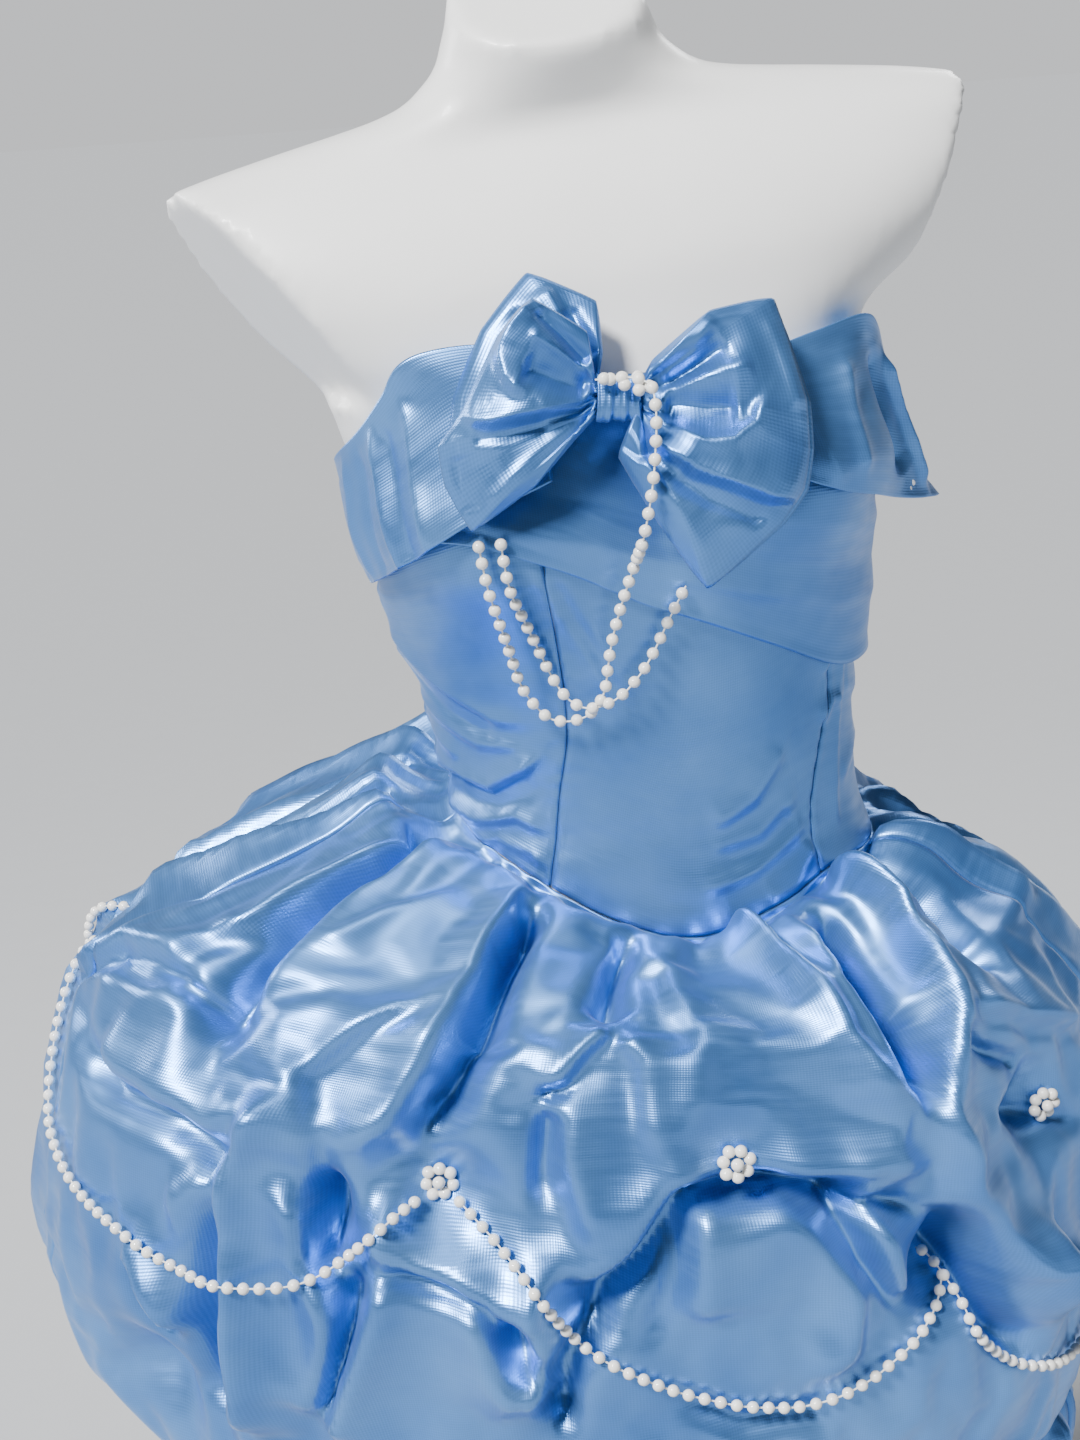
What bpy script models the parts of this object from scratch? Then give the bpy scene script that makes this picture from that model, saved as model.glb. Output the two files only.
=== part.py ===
"""A strapless pick-up dress on a limbless torso form.

Shapes are worked out in dress coordinates: centimetres from the middle of the
waist, +X to the picture's right, -Y to the front, +Z up.  An angle goes round
the body from the front (0) towards +X (90).  place() turns them into metres
above the floor.
"""
import math

import bpy
import bmesh
import numpy as np
from mathutils import Matrix, Vector

# ---------------------------------------------------------------- sizes
WAIST_HEIGHT = 1.04          # metres from the floor to the waist
CM = 0.01

# The form, a row for each level ring (cm).
# columns: height, half width, depth in front, depth behind, squareness, forward shift
FORM = np.array([
    (-30.0, 15.4, 9.2, 10.6, 2.3, 0.0),
    (-20.0, 17.0, 10.2, 12.2, 2.3, 0.0),
    (-12.0, 16.0, 10.6, 11.6, 2.2, 0.0),
    (-5.0, 13.2, 9.9, 9.8, 2.1, 0.0),
    (0.0, 11.6, 9.2, 9.0, 2.1, 0.0),
    (6.0, 11.6, 9.2, 9.5, 2.1, 0.0),
    (12.0, 12.8, 9.6, 10.6, 2.1, 0.0),
    (18.0, 13.7, 9.9, 11.4, 2.1, 0.0),
    (23.0, 14.3, 9.4, 11.8, 2.1, 0.0),
    (26.6, 15.8, 8.7, 11.4, 2.2, 0.0),
    (28.4, 18.8, 8.2, 10.9, 2.2, 0.1),
    (31.0, 22.0, 7.6, 10.2, 2.3, 0.3),
    (34.4, 24.4, 6.0, 8.2, 2.4, 0.6),
    (36.6, 24.0, 4.6, 6.4, 2.4, 0.9),
    (37.8, 20.0, 4.0, 5.8, 2.3, 1.2),
    (38.7, 14.8, 4.0, 5.6, 2.2, 1.4),
    (39.5, 9.8, 4.4, 5.6, 2.1, 1.4),
    (41.0, 6.7, 4.8, 5.5, 2.0, 1.0),
    (43.0, 5.5, 5.0, 5.2, 2.0, 0.4),
    (50.0, 5.2, 5.1, 5.1, 2.0, -1.6)])
FORM_RINGS = (-30, -26, -20, -14, -9, -5, -1, 3, 7, 11, 14, 16.5, 19, 21.5, 24, 26.5, 29,
              31, 33, 34.6, 36, 36.8, 37.4, 37.9, 38.5, 39.2, 40, 41, 42.5, 45, 50)
FORM_SEGMENTS = 36
FORM_SNUG = 0.1              # how far the form fills its outline, so the bodice just touches it
BUST = {"angle": 33.0, "height": 18.0, "rise": 2.3, "spread": 24.0, "tall": 4.8}
# The ribs lean over the waist, towards the wearer's right.
LEAN = {"degrees": 5.0, "pivot": 5.0, "start": -2.0, "end": 12.0}
# Flat cuts through the form: where the arms and the head would join.
ARM_BLOCK = {"bottom": 25.6, "top": 45.0, "reach": 34.0, "deep": 14.0}
ARM_CUTS = {-1: {"x": 16.4, "slope": 28.5, "turn": 16.0, "back": 7.5},
            1: {"x": 16.2, "slope": 29.0, "turn": 0.0, "back": 0.0}}
NECK_CUT = {"y": -0.2, "height": 44.8, "slope": 34.0}

POLE_RADIUS = 1.25
POLE_COLLAR = {"radius": 3.4, "height": 2.4}
BASE_RADIUS = 17.0
BASE_EDGE = 0.8
BASE_MIDDLE = 2.2
GAP = 0.03                   # the gap that touching pieces keep

# The waist seam (cm above the waist), pointed in front.  columns: angle, height
SEAM = np.array([
    (-180, 1.6), (-140, 1.9), (-99, 1.6), (-70, 0.2), (-39, -2.0), (-18, -4.1), (0, -5.4),
    (18, -4.6), (39, -3.3), (62, -3.3), (81, -3.2), (110, -2.0), (150, 0.4), (180, 1.6)], float)
# Top edge of the bodice.  columns: angle, height
NECKLINE = np.array([
    (-180, 17.0), (-140, 18.0), (-103, 20.6), (-65, 23.4), (-48, 25.4), (-30, 27.2), (-16, 27.2),
    (-3, 25.8), (8, 25.4), (22, 24.8), (36, 25.0), (57, 25.0), (75, 23.4), (95, 21.0), (140, 18.0),
    (180, 17.0)], float)
# Where the princess seams run.  columns: height, right seam angle, left seam angle
PRINCESS = np.array([
    (-5, -36, 36), (0, -35.5, 37), (3, -34, 42), (6, -30, 47), (9, -27, 48),
    (17, -23, 44), (27, -20, 38)], float)
# The loose edge of the right side panel.  columns: height, angle, how far it stands out
RIGHT_EDGE = np.array([
    (-2, -102, 0.0), (1.6, -102, 0.0), (3.2, -95, 0.0), (5.2, -97, 0.3), (7.4, -96, 0.0),
    (10.0, -101, 0.3), (13.6, -104, 0.4), (16.5, -102, 0.1), (19, -104, 0.0), (27, -104, 0.0)], float)
COLUMN = 6                   # degrees between the columns of the cloth that shows
PLAIN_COLUMN = 12            # and of the plain back
BODICE_OUT = 0.50            # outer face of the bodice from the form's skin
BODICE_WALL = 0.13
BODICE_ROWS = (1.0, 0.93, 0.86, 0.79, 0.72, 0.65, 0.57, 0.46, 0.32, 0.16, 0.0)   # share of a panel's height

# The skirt's outline from waist to hem, a row for each section.
# columns: along, height right side, height left side, radius right, front, left, back
SKIRT = np.array([
    (0.00, 0.0, 0.0, 12.3, 9.9, 12.3, 9.8),
    (0.02, -0.5, -0.5, 12.6, 10.2, 12.6, 10.1),
    (0.06, 1.0, -1.0, 15.0, 12.4, 14.4, 12.6),
    (0.12, 0.3, -3.8, 19.5, 15.2, 17.6, 16.0),
    (0.20, -2.0, -6.9, 26.0, 18.2, 21.4, 20.0),
    (0.28, -4.4, -11.0, 31.6, 20.3, 24.4, 23.2),
    (0.36, -8.8, -15.8, 35.2, 21.6, 26.2, 25.4),
    (0.44, -16.0, -21.0, 37.2, 22.4, 26.9, 26.6),
    (0.52, -23.5, -26.8, 37.8, 22.8, 27.1, 27.0),
    (0.60, -30.5, -32.5, 36.0, 22.6, 26.4, 26.0),
    (0.66, -34.8, -36.5, 32.6, 21.6, 25.2, 24.2),
    (0.70, -36.2, -37.6, 30.0, 20.8, 24.2, 23.2),
    (0.75, -38.6, -39.5, 28.8, 20.6, 23.8, 23.0),
    (0.84, -43.8, -44.3, 28.8, 21.0, 23.8, 23.4),
    (0.94, -49.8, -50.2, 27.4, 19.6, 22.6, 22.0),
    (1.00, -53.0, -53.2, 25.0, 17.6, 21.0, 20.0)])
SKIRT_ALONG = (0, 0.02, 0.055, 0.09, 0.13, 0.18, 0.235, 0.29, 0.345, 0.40, 0.46, 0.52, 0.58,
               0.64, 0.70, 0.77, 0.88, 1.0)
SKIRT_LENGTH = 74.0          # cm of cloth from waist to hem
SKIRT_WALL = 0.15
SKIRT_INSET = 0.045          # how far a gore is drawn back from its seam
SKIRT_FLARE = 12.0           # how fast the cloth leaves the seam, cm out for the whole length
# The largest folds, each a straight trough (-) or ridge (+) with soft sides.
# columns: angle, along at one end, angle, along at the other, width cm, rise cm
FOLDS = (
    (-33, 0.08, -29, 0.32, 2.6, -1.8),
    (-13, 0.08, -15, 0.30, 2.2, -1.3),
    (33, 0.12, 25, 0.38, 2.4, -1.6),
    (57, 0.06, 28, 0.30, 2.4, 1.0),
    (28, 0.30, 38, 0.54, 2.4, 1.1),
    (-66, 0.10, -78, 0.30, 3.0, -1.5),
    (-100, 0.10, -112, 0.26, 3.0, -1.2),
    (84, 0.10, 92, 0.32, 3.0, -1.3),
    (124, 0.08, 130, 0.32, 3.2, -1.6),
    (160, 0.08, 166, 0.34, 3.2, -1.4),
    (-164, 0.08, -160, 0.32, 3.2, -1.5),
    (-136, 0.08, -134, 0.32, 3.2, -1.6),
    (-18, 0.45, 14, 0.40, 2.4, -1.2),
    (-52, 0.50, -36, 0.60, 3.0, -1.6),
    (-48, 0.33, -46, 0.62, 2.2, 1.0),
    (10, 0.60, 34, 0.64, 3.0, -1.4))
# Where the skirt is caught up.  columns: angle, along, reach cm, depth cm
PICK_UPS = (
    (-106, 0.29, 4.5, 1.4),
    (-26.5, 0.393, 4.0, 1.2),
    (-2, 0.378, 3.6, 1.0),
    (41, 0.370, 4.0, 1.2),
    (21.5, 0.468, 4.0, 1.6),
    (88, 0.390, 4.5, 1.6),
    (136, 0.400, 4.5, 1.6),
    (176, 0.390, 4.5, 1.4),
    (-146, 0.400, 4.5, 1.6),
    (-60, 0.560, 4.5, 1.6))
SKIRT_GORES = (("skirt_front", -84, 66), ("skirt_side_left", 66, 114),
               ("skirt_back_left", 114, 186), ("skirt_back_right", 186, 276))

# Bust drape: its diagonal lower edge and how far it stands off.
# columns: angle, lower edge height, stand-off at that edge
DRAPE = np.array([
    (-60, 18.6, 0.92), (-51, 18.8, 0.94), (-32, 18.4, 0.92), (-21.5, 17.0, 0.92), (-3.5, 13.7, 0.90),
    (6.5, 12.3, 0.90), (24, 10.0, 0.95), (48, 7.6, 1.1), (72, 7.2, 1.4), (96, 7.6, 1.3)], float)
DRAPE_TOP_OUT = 0.78
DRAPE_OUT = 0.92
DRAPE_WALL = 0.14

# Fold-over collars.  columns: angle, free edge height, rise of the fold over the neckline,
# stand-off at the free edge, at the middle, at the fold
COLLAR_RIGHT = np.array([
    (-108, 15.8, 0.9, 1.1, 1.2, 1.0), (-90, 15.4, 0.9, 1.1, 1.2, 1.0), (-66, 16.6, 0.9, 1.5, 1.6, 1.1),
    (-50, 18.0, 1.0, 1.9, 2.0, 1.3), (-30, 20.4, 1.2, 1.8, 2.0, 1.3), (-18, 21.4, 1.0, 1.7, 1.8, 1.3)], float)
COLLAR_LEFT = np.array([
    (18, 20.6, 0.8, 1.6, 1.8, 1.3), (30, 18.6, 0.9, 1.7, 2.0, 1.3), (48, 16.9, 1.0, 2.0, 2.1, 1.3),
    (60, 16.0, 1.0, 2.6, 2.2, 1.4), (72, 15.2, 0.9, 3.9, 2.5, 1.4), (84, 14.6, 0.9, 5.0, 2.8, 1.4),
    (96, 14.4, 0.9, 3.6, 2.4, 1.3)], float)
COLLAR_BACK = np.array([
    (96, 14.4, 0.9, 3.6, 2.4, 1.3), (120, 13.4, 0.8, 2.3, 1.9, 1.2), (150, 12.2, 0.8, 1.7, 1.6, 1.2),
    (180, 11.8, 0.8, 1.6, 1.5, 1.2), (210, 12.4, 0.8, 1.6, 1.5, 1.2), (234, 13.8, 0.8, 1.6, 1.5, 1.2),
    (246, 14.6, 0.8, 1.6, 1.5, 1.2)], float)
COLLAR_WALL = 0.14
COLLAR_STATIONS = (0.0, 0.25, 0.5, 0.75, 0.93, 1.0)
COLLAR_SEAM = {"rise": 0.04, "out": 0.52}     # where it is sewn, just over the bodice's top edge

# The bow lies on the chest, in its own axes, from the middle of its knot.
BOW_CENTRE = np.array([-3.1, -12.3, 24.8])
BOW_RIGHT = np.array([0.982, -0.176, -0.067])
BOW_UP = np.array([0.115, 0.277, 0.954])
BOW_OUT = np.array([-0.150, -0.944, 0.292])
BOW_WALL = 0.13
# Wing outlines, from the knot round to the knot again.
# columns: across, up, out (cm)
BOW_WINGS = {
    "bow_right_back": np.array([
        (-1.12, 0.9, -0.25), (-0.8, 4.9, -0.5), (-4.5, 6.5, -1.0), (-7.0, 3.6, -1.0), (-8.3, 0.2, -1.18),
        (-8.7, -4.4, -1.24), (-7.0, -6.2, -0.96), (-3.6, -3.6, -0.5), (-1.12, -0.9, -0.25)]),
    "bow_right_front": np.array([
        (-1.13, 0.9, 0.35), (-2.0, 3.4, 1.2), (-4.4, 4.4, 1.6), (-6.2, 3.0, 1.5), (-8.0, -0.4, 0.6),
        (-8.9, -4.6, -0.55), (-7.2, -6.5, -0.35), (-3.8, -3.9, 0.3), (-1.13, -0.9, 0.35)]),
    "bow_left_back": np.array([
        (1.12, -0.9, -0.25), (2.0, -6.0, -0.8), (4.7, -9.2, -1.1), (8.6, -5.4, -1.7), (9.9, -1.5, -1.9),
        (9.7, 0.5, -1.8), (8.0, 4.9, -1.6), (4.2, 4.2, -0.9), (1.12, 0.9, -0.25)]),
    "bow_left_front": np.array([
        (1.13, -0.9, 0.35), (1.4, -6.4, 0.4), (4.5, -9.6, -0.3), (8.3, -5.8, -0.5), (9.5, -1.8, -0.3),
        (9.3, 0.2, -0.2), (7.8, 5.2, -0.4), (4.0, 4.4, 0.6), (1.13, 0.9, 0.35)])}
BOW_LOFT = {"bow_right_back": 0.6, "bow_right_front": 1.3, "bow_left_back": 0.8, "bow_left_front": 1.4}
KNOT_SIZE = (2.1, 1.5, 2.5)
KNOT_GATHER = 0.2            # how far a wing is drawn in at the knot
KNOT_BEVEL = 0.6

# Pearl strands: 6.5 mm beads on a thread.
PEARL = 0.65
# Routes over the bust.  columns: angle, height, stand-off (cm)
STRAND_1 = (
    (-5.6, 16.4, 1.45), (-7.6, 15.3, 1.45),
    (-9.8, 14.0, 1.37), (-12.5, 12.3, 1.38), (-14.6, 10.7, 1.37), (-16.6, 9.4, 1.27), (-20.5, 8.3, 1.15),
    (-25.5, 7.9, 1.1), (-30.5, 8.0, 1.1), (-34.0, 8.9, 1.1), (-35.8, 10.3, 1.15), (-35.3, 12.2, 1.2),
    (-34.6, 14.5, 1.25), (-33.8, 16.6, 1.4), (-33.3, 19.2, 1.65))
# Its start, over the knot and down in front of the wing, in the bow's own axes.
# columns: across, up, out
STRAND_1_TOP = (
    (-1.2, 0.7, 1.35), (0.2, 0.8, 1.4), (1.4, 0.5, 1.9), (1.75, -0.8, 2.2), (1.75, -2.4, 2.3),
    (1.65, -4.2, 2.1), (1.45, -5.8, 1.4), (1.2, -7.2, 0.4))
STRAND_2 = (
    (3.2, 14.6, 1.35), (-0.6, 12.8, 1.25), (-4.0, 11.4, 1.35), (-7.5, 10.4, 1.7), (-12.5, 9.4, 2.0),
    (-17.4, 8.9, 2.0), (-21.5, 8.9, 1.9), (-25.0, 9.5, 1.6), (-27.4, 10.7, 1.2), (-28.6, 12.4, 1.1),
    (-29.4, 14.4, 1.15), (-29.6, 16.4, 1.4), (-29.0, 19.2, 1.7))
# Garlands round the skirt, from flower to flower.
# columns: angle, along, stand-off (cm)
GARLANDS = (
    ((-105.7, 0.2793, 1.0), (-103, 0.293, 0.9), (-100, 0.312, 0.8), (-97, 0.335, 0.8), (-94, 0.362, 0.8),
     (-90, 0.392, 0.8), (-84, 0.416, 0.8), (-76, 0.430, 0.8), (-67, 0.444, 0.8), (-58, 0.456, 0.8),
     (-50, 0.464, 1.0), (-42, 0.463, 1.1), (-37, 0.450, 0.9), (-33.4, 0.430, 0.8), (-30.6, 0.412, 0.9),
     (-28.6, 0.400, 1.0)),
    ((-24.6, 0.398, 1.0), (-21.8, 0.420, 0.87), (-19.5, 0.443, 0.8), (-17.0, 0.468, 0.8),
     (-14.0, 0.491, 0.84), (-10.0, 0.513, 0.84), (-5.0, 0.530, 0.82), (0.0, 0.540, 0.8), (5.0, 0.541, 0.8),
     (10.0, 0.535, 0.8), (14.0, 0.523, 0.8), (17.5, 0.508, 0.8), (20.0, 0.490, 0.7), (20.9, 0.470, 0.6)),
    ((22.9, 0.470, 0.6), (24.1, 0.500, 0.7), (26.5, 0.527, 0.8), (31, 0.553, 0.8), (37, 0.575, 0.8),
     (44, 0.590, 0.8), (52, 0.592, 0.8), (61, 0.575, 0.8), (69, 0.545, 0.8), (76, 0.505, 0.8),
     (81.5, 0.460, 0.8), (85.5, 0.420, 0.9), (87, 0.402, 1.0)),
    ((88.8, 0.4005, 0.95), (92, 0.430, 0.8), (97, 0.462, 0.8), (104, 0.487, 0.8), (112, 0.497, 0.8),
     (120, 0.487, 0.8), (127, 0.462, 0.8), (132, 0.432, 0.8), (135, 0.412, 1.0)),
    ((136.9, 0.4105, 1.0), (141, 0.438, 0.8), (147, 0.468, 0.8), (154, 0.488, 0.8), (162, 0.490, 0.8),
     (169, 0.470, 0.8), (173, 0.436, 0.8), (174.6, 0.401, 1.0)),
    ((177.4, 0.401, 1.0), (182, 0.436, 0.8), (190, 0.464, 0.8), (196, 0.482, 0.8), (203, 0.478, 0.8),
     (209, 0.452, 0.8), (213.2, 0.4085, 1.0)),
    ((214.8, 0.4085, 1.0), (218.5, 0.438, 0.8), (223, 0.455, 0.8), (229, 0.458, 0.8), (236, 0.440, 0.8),
     (243, 0.400, 0.8), (249, 0.340, 0.8), (252.6, 0.290, 1.0)))
# Pearl flowers.  columns: angle, along, lift (cm)
FLOWERS = ((-106, 0.262, 0.25), (-26.5, 0.386, 0.14), (-2, 0.372, 0.25), (41, 0.370, 0.45), (88, 0.388, 0.12),
           (136, 0.398, 0.17), (176, 0.388, 0.38), (214, 0.398, 0.2))
FLOWER_RADIUS = 1.15
FLOWER_HEIGHT = 0.75

# ---------------------------------------------------------------- shared shape functions


def smooth(rows, at, column):
    """Cubic through one column of a table, by its first column."""
    x, y = rows[:, 0], rows[:, column]
    slope = np.gradient(y, x)
    at = np.clip(np.asarray(at, float), x[0], x[-1])
    i = np.clip(np.searchsorted(x, at) - 1, 0, len(x) - 2)
    step = x[i + 1] - x[i]
    s = (at - x[i]) / step
    return ((2 * s**3 - 3 * s**2 + 1) * y[i] + (s**3 - 2 * s**2 + s) * step * slope[i]
            + (3 * s**2 - 2 * s**3) * y[i + 1] + (s**3 - s**2) * step * slope[i + 1])


def ease(s):
    """Smooth 0 to 1."""
    s = np.clip(s, 0, 1)
    return s * s * (3 - 2 * s)


def wrapped(angle):
    """The same angle from -180 to 180."""
    return (np.asarray(angle, float) + 180) % 360 - 180


def leaned(p):
    """Tilts what is above the waist over to the wearer's right."""
    turn = np.radians(LEAN["degrees"]) * ease((p[..., 2] - LEAN["start"]) / (LEAN["end"] - LEAN["start"]))
    x, up = p[..., 0], p[..., 2] - LEAN["pivot"]
    return np.stack([x * np.cos(turn) - up * np.sin(turn), p[..., 1],
                     LEAN["pivot"] + x * np.sin(turn) + up * np.cos(turn)], -1)


def body(angle, height, out=0.0):
    """A point on the form's skin, pushed out level by some cm."""
    angle, height = np.broadcast_arrays(np.asarray(angle, float), np.asarray(height, float))
    turn = np.radians(angle)
    half = smooth(FORM, height, 1)
    deep = np.where(np.cos(turn) > 0, smooth(FORM, height, 2), smooth(FORM, height, 3))
    power = 2 / smooth(FORM, height, 4)
    side = (np.abs(wrapped(angle)) - BUST["angle"]) / BUST["spread"]
    bust = BUST["rise"] * np.exp(-side**2 - ((height - BUST["height"]) / BUST["tall"])**2)
    x = half * np.sign(np.sin(turn)) * np.abs(np.sin(turn))**power
    y = -deep * np.sign(np.cos(turn)) * np.abs(np.cos(turn))**power
    nx, ny = x / half**2, y / deep**2
    push = (out + bust) / (np.hypot(nx, ny) + 1e-9)
    return leaned(np.stack([x + push * nx, y + push * ny + smooth(FORM, height, 5), height + 0 * x], -1))


def seam(angle):
    """Height of the waist seam."""
    return smooth(SEAM, wrapped(angle), 1)


def skirt_plain(angle, along):
    """The skirt's surface without its folds."""
    angle, along = np.broadcast_arrays(np.asarray(angle, float), np.asarray(along, float))
    s, c = np.sin(np.radians(angle)), np.cos(np.radians(angle))
    across = np.where(s < 0, smooth(SKIRT, along, 3), smooth(SKIRT, along, 5))
    deep = np.where(c > 0, smooth(SKIRT, along, 4), smooth(SKIRT, along, 6))
    share = (1 - s) / 2
    height = share * smooth(SKIRT, along, 1) + (1 - share) * smooth(SKIRT, along, 2)
    table = np.stack([across * s, -deep * c, height + seam(angle) * (1 - ease(along / 0.36))], -1)
    sewn = body(angle, seam(angle), BODICE_OUT + SKIRT_FLARE * along)
    sewn = sewn + np.stack([0 * height, 0 * height, height - 0.01], -1)
    near = (1 - ease(along / 0.05))[..., None]
    return sewn * near + table * (1 - near)


def normals(points):
    """Outward unit normals of a grid whose rows go down and columns go round."""
    across = np.gradient(points, axis=1)
    down = np.gradient(points, axis=0)
    n = np.cross(down, across)
    return n / (np.linalg.norm(n, axis=-1, keepdims=True) + 1e-12)


def fold_rise(angle, along, radius):
    """How far the largest folds and pick-ups move the skirt's surface, in cm."""
    rise = np.zeros(angle.shape)
    for a0, t0, a1, t1, width, height in FOLDS:
        down = np.full(angle.shape, (t1 - t0) * SKIRT_LENGTH)
        end = np.stack([wrapped(a1 - a0) * np.pi / 180 * radius, down])
        here = np.stack([wrapped(angle - a0) * np.pi / 180 * radius, (along - t0) * SKIRT_LENGTH])
        where = (end * here).sum(0) / ((end * end).sum(0) + 1e-9)
        off = np.linalg.norm(here - end * np.clip(where, 0, 1), axis=0)
        rise += height * np.exp(-(off / width)**2)
    for a0, t0, reach, depth in PICK_UPS:
        off = np.hypot(wrapped(angle - a0) * np.pi / 180 * radius, (along - t0) * SKIRT_LENGTH)
        rise -= depth * np.exp(-(off / reach)**2)
    return rise * ease(along / 0.1)


def skirt(angle, along, out=0.0):
    """The skirt's outer surface on a grid of angles and places along."""
    plain = skirt_plain(angle, along)
    angle, along = np.broadcast_arrays(np.asarray(angle, float), np.asarray(along, float))
    step = 1.0
    around = skirt_plain(angle + step, along) - skirt_plain(angle - step, along)
    down = skirt_plain(angle, along + step / 100) - skirt_plain(angle, along - step / 100)
    n = np.cross(down, around)
    n /= np.linalg.norm(n, axis=-1, keepdims=True) + 1e-12
    radius = np.hypot(plain[..., 0], plain[..., 1])
    return plain + n * (fold_rise(angle, along, radius) + out)[..., None]


def place(p):
    """Dress coordinates in cm to metres above the floor."""
    return np.asarray(p, float) * CM + np.array([0.0, 0.0, WAIST_HEIGHT])


# ---------------------------------------------------------------- making objects


def clear_scene():
    """Removes every object."""
    for obj in list(bpy.data.objects):
        bpy.data.objects.remove(obj, do_unlink=True)


def collection(name):
    """A new collection in the scene."""
    made = bpy.data.collections.new(name)
    bpy.context.scene.collection.children.link(made)
    return made


def material(name, colour, roughness, metallic=0.0):
    """A plain Principled material."""
    made = bpy.data.materials.new(name)
    made.use_nodes = True
    shader = made.node_tree.nodes["Principled BSDF"]
    shader.inputs["Base Color"].default_value = (*colour, 1.0)
    shader.inputs["Roughness"].default_value = roughness
    shader.inputs["Metallic"].default_value = metallic
    return made


def add(name, data, finish, home):
    """A named object in a collection, with one material."""
    data.name = name
    obj = bpy.data.objects.new(name, data)
    data.materials.clear()
    data.materials.append(finish)
    home.objects.link(obj)
    return obj


def grid_mesh(points):
    """An open sheet through a grid of points, facing out: rows go down, columns go round."""
    rows, columns = points.shape[:2]
    mesh = bmesh.new()
    bmesh.ops.create_grid(mesh, x_segments=columns - 1, y_segments=rows - 1, size=1.0)
    mesh.verts.ensure_lookup_table()
    order = sorted(mesh.verts, key=lambda v: (-round(v.co.y, 5), round(v.co.x, 5)))
    flat = place(points).reshape(-1, 3)
    for vert, point in zip(order, flat):
        vert.co = Vector(point)
    for face in mesh.faces:
        face.smooth = True
    data = bpy.data.meshes.new("sheet")
    mesh.to_mesh(data)
    mesh.free()
    return data


def sheet(name, points, wall, finish, home):
    """A cloth wall on a grid of points, its thickness inwards."""
    obj = add(name, grid_mesh(points), finish, home)
    solid = obj.modifiers.new("wall", "SOLIDIFY")
    solid.thickness = wall * CM
    solid.offset = -1.0
    solid.use_even_offset = False
    return obj


def drawn_back(points, inset):
    """Moves a grid's first and last columns inwards by a seam's half gap."""
    points = points.copy()
    for edge, near in ((0, 1), (-1, -2)):
        step = points[:, near] - points[:, edge]
        points[:, edge] += step / np.linalg.norm(step, axis=-1, keepdims=True) * inset
    return points


# ---------------------------------------------------------------- the form and its stand


def arm_cutter(side, home):
    """A block whose inner face is the flat end of a shoulder."""
    cut = ARM_CUTS[side]
    slope = math.tan(math.radians(cut["slope"]))
    turn = math.tan(math.radians(cut["turn"]))
    mesh = bmesh.new()
    bmesh.ops.create_cube(mesh, size=2.0)
    for vert in mesh.verts:
        height = ARM_BLOCK["top"] if vert.co.z > 0 else ARM_BLOCK["bottom"]
        deep = vert.co.y * ARM_BLOCK["deep"]
        inner = cut["x"] + (height - ARM_BLOCK["bottom"]) * slope + (deep - cut["back"]) * turn
        across = ARM_BLOCK["reach"] if vert.co.x > 0 else inner
        point = leaned(np.array([side * across, deep, height]))
        vert.co = Vector(place(point))
    if side < 0:
        bmesh.ops.reverse_faces(mesh, faces=mesh.faces)
    name = "cut_arm_right" if side < 0 else "cut_arm_left"
    data = bpy.data.meshes.new(name)
    mesh.to_mesh(data)
    mesh.free()
    cutter = bpy.data.objects.new(name, data)
    cutter.hide_render = True
    cutter.display_type = "WIRE"
    home.objects.link(cutter)
    return cutter


def make_form(finish, home, cutters):
    """Headless, armless torso with flat cuts at the arms and the neck."""
    angles = np.arange(FORM_SEGMENTS) * 360.0 / FORM_SEGMENTS
    rings = place(body(angles[None, :], np.array(FORM_RINGS, float)[:, None], FORM_SNUG))
    mesh = bmesh.new()
    made = [[mesh.verts.new(p) for p in ring] for ring in rings]
    for low, high in zip(made[:-1], made[1:]):
        for i in range(FORM_SEGMENTS):
            j = (i + 1) % FORM_SEGMENTS
            mesh.faces.new((low[i], low[j], high[j], high[i]))
    mesh.faces.new(made[0][::-1])
    mesh.faces.new(made[-1])
    neck = math.radians(NECK_CUT["slope"])
    here = leaned(np.array([0.0, NECK_CUT["y"], NECK_CUT["height"]]))
    ahead = leaned(np.array([0.0, NECK_CUT["y"] - math.sin(neck), NECK_CUT["height"] + math.cos(neck)]))
    cut_flat(mesh, place(here), ahead - here)
    bmesh.ops.recalc_face_normals(mesh, faces=mesh.faces)
    data = bpy.data.meshes.new("form")
    mesh.to_mesh(data)
    mesh.free()
    data.shade_smooth()
    data.set_sharp_from_angle(angle=math.radians(50))
    form = add("form_torso", data, finish, home)
    for side in (-1, 1):
        cut = form.modifiers.new("arm", "BOOLEAN")
        cut.operation = "DIFFERENCE"
        cut.object = arm_cutter(side, cutters)


def cut_flat(mesh, point, direction):
    """Cuts a closed mesh by a plane, drops what is ahead of it and caps the cut."""
    everything = list(mesh.verts) + list(mesh.edges) + list(mesh.faces)
    made = bmesh.ops.bisect_plane(mesh, geom=everything, plane_co=Vector(point),
                                  plane_no=Vector(direction).normalized(), clear_outer=True)
    edges = [e for e in made["geom_cut"] if isinstance(e, bmesh.types.BMEdge)]
    bmesh.ops.contextual_create(mesh, geom=edges)


def turned(name, profile, centre, finish, home, steps=32):
    """A turned piece from a profile of radius and height, top to bottom, in cm."""
    data = bpy.data.meshes.new(name)
    points = [(radius * CM, 0.0, height * CM) for radius, height in profile]
    data.from_pydata(points, [(i, i + 1) for i in range(len(points) - 1)], [])
    obj = add(name, data, finish, home)
    obj.location = (centre[0] * CM, centre[1] * CM, 0.0)
    screw = obj.modifiers.new("turn", "SCREW")
    screw.steps = steps
    screw.render_steps = steps
    screw.use_merge_vertices = True
    screw.merge_threshold = 0.00001
    screw.use_smooth_shade = True
    return obj


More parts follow.
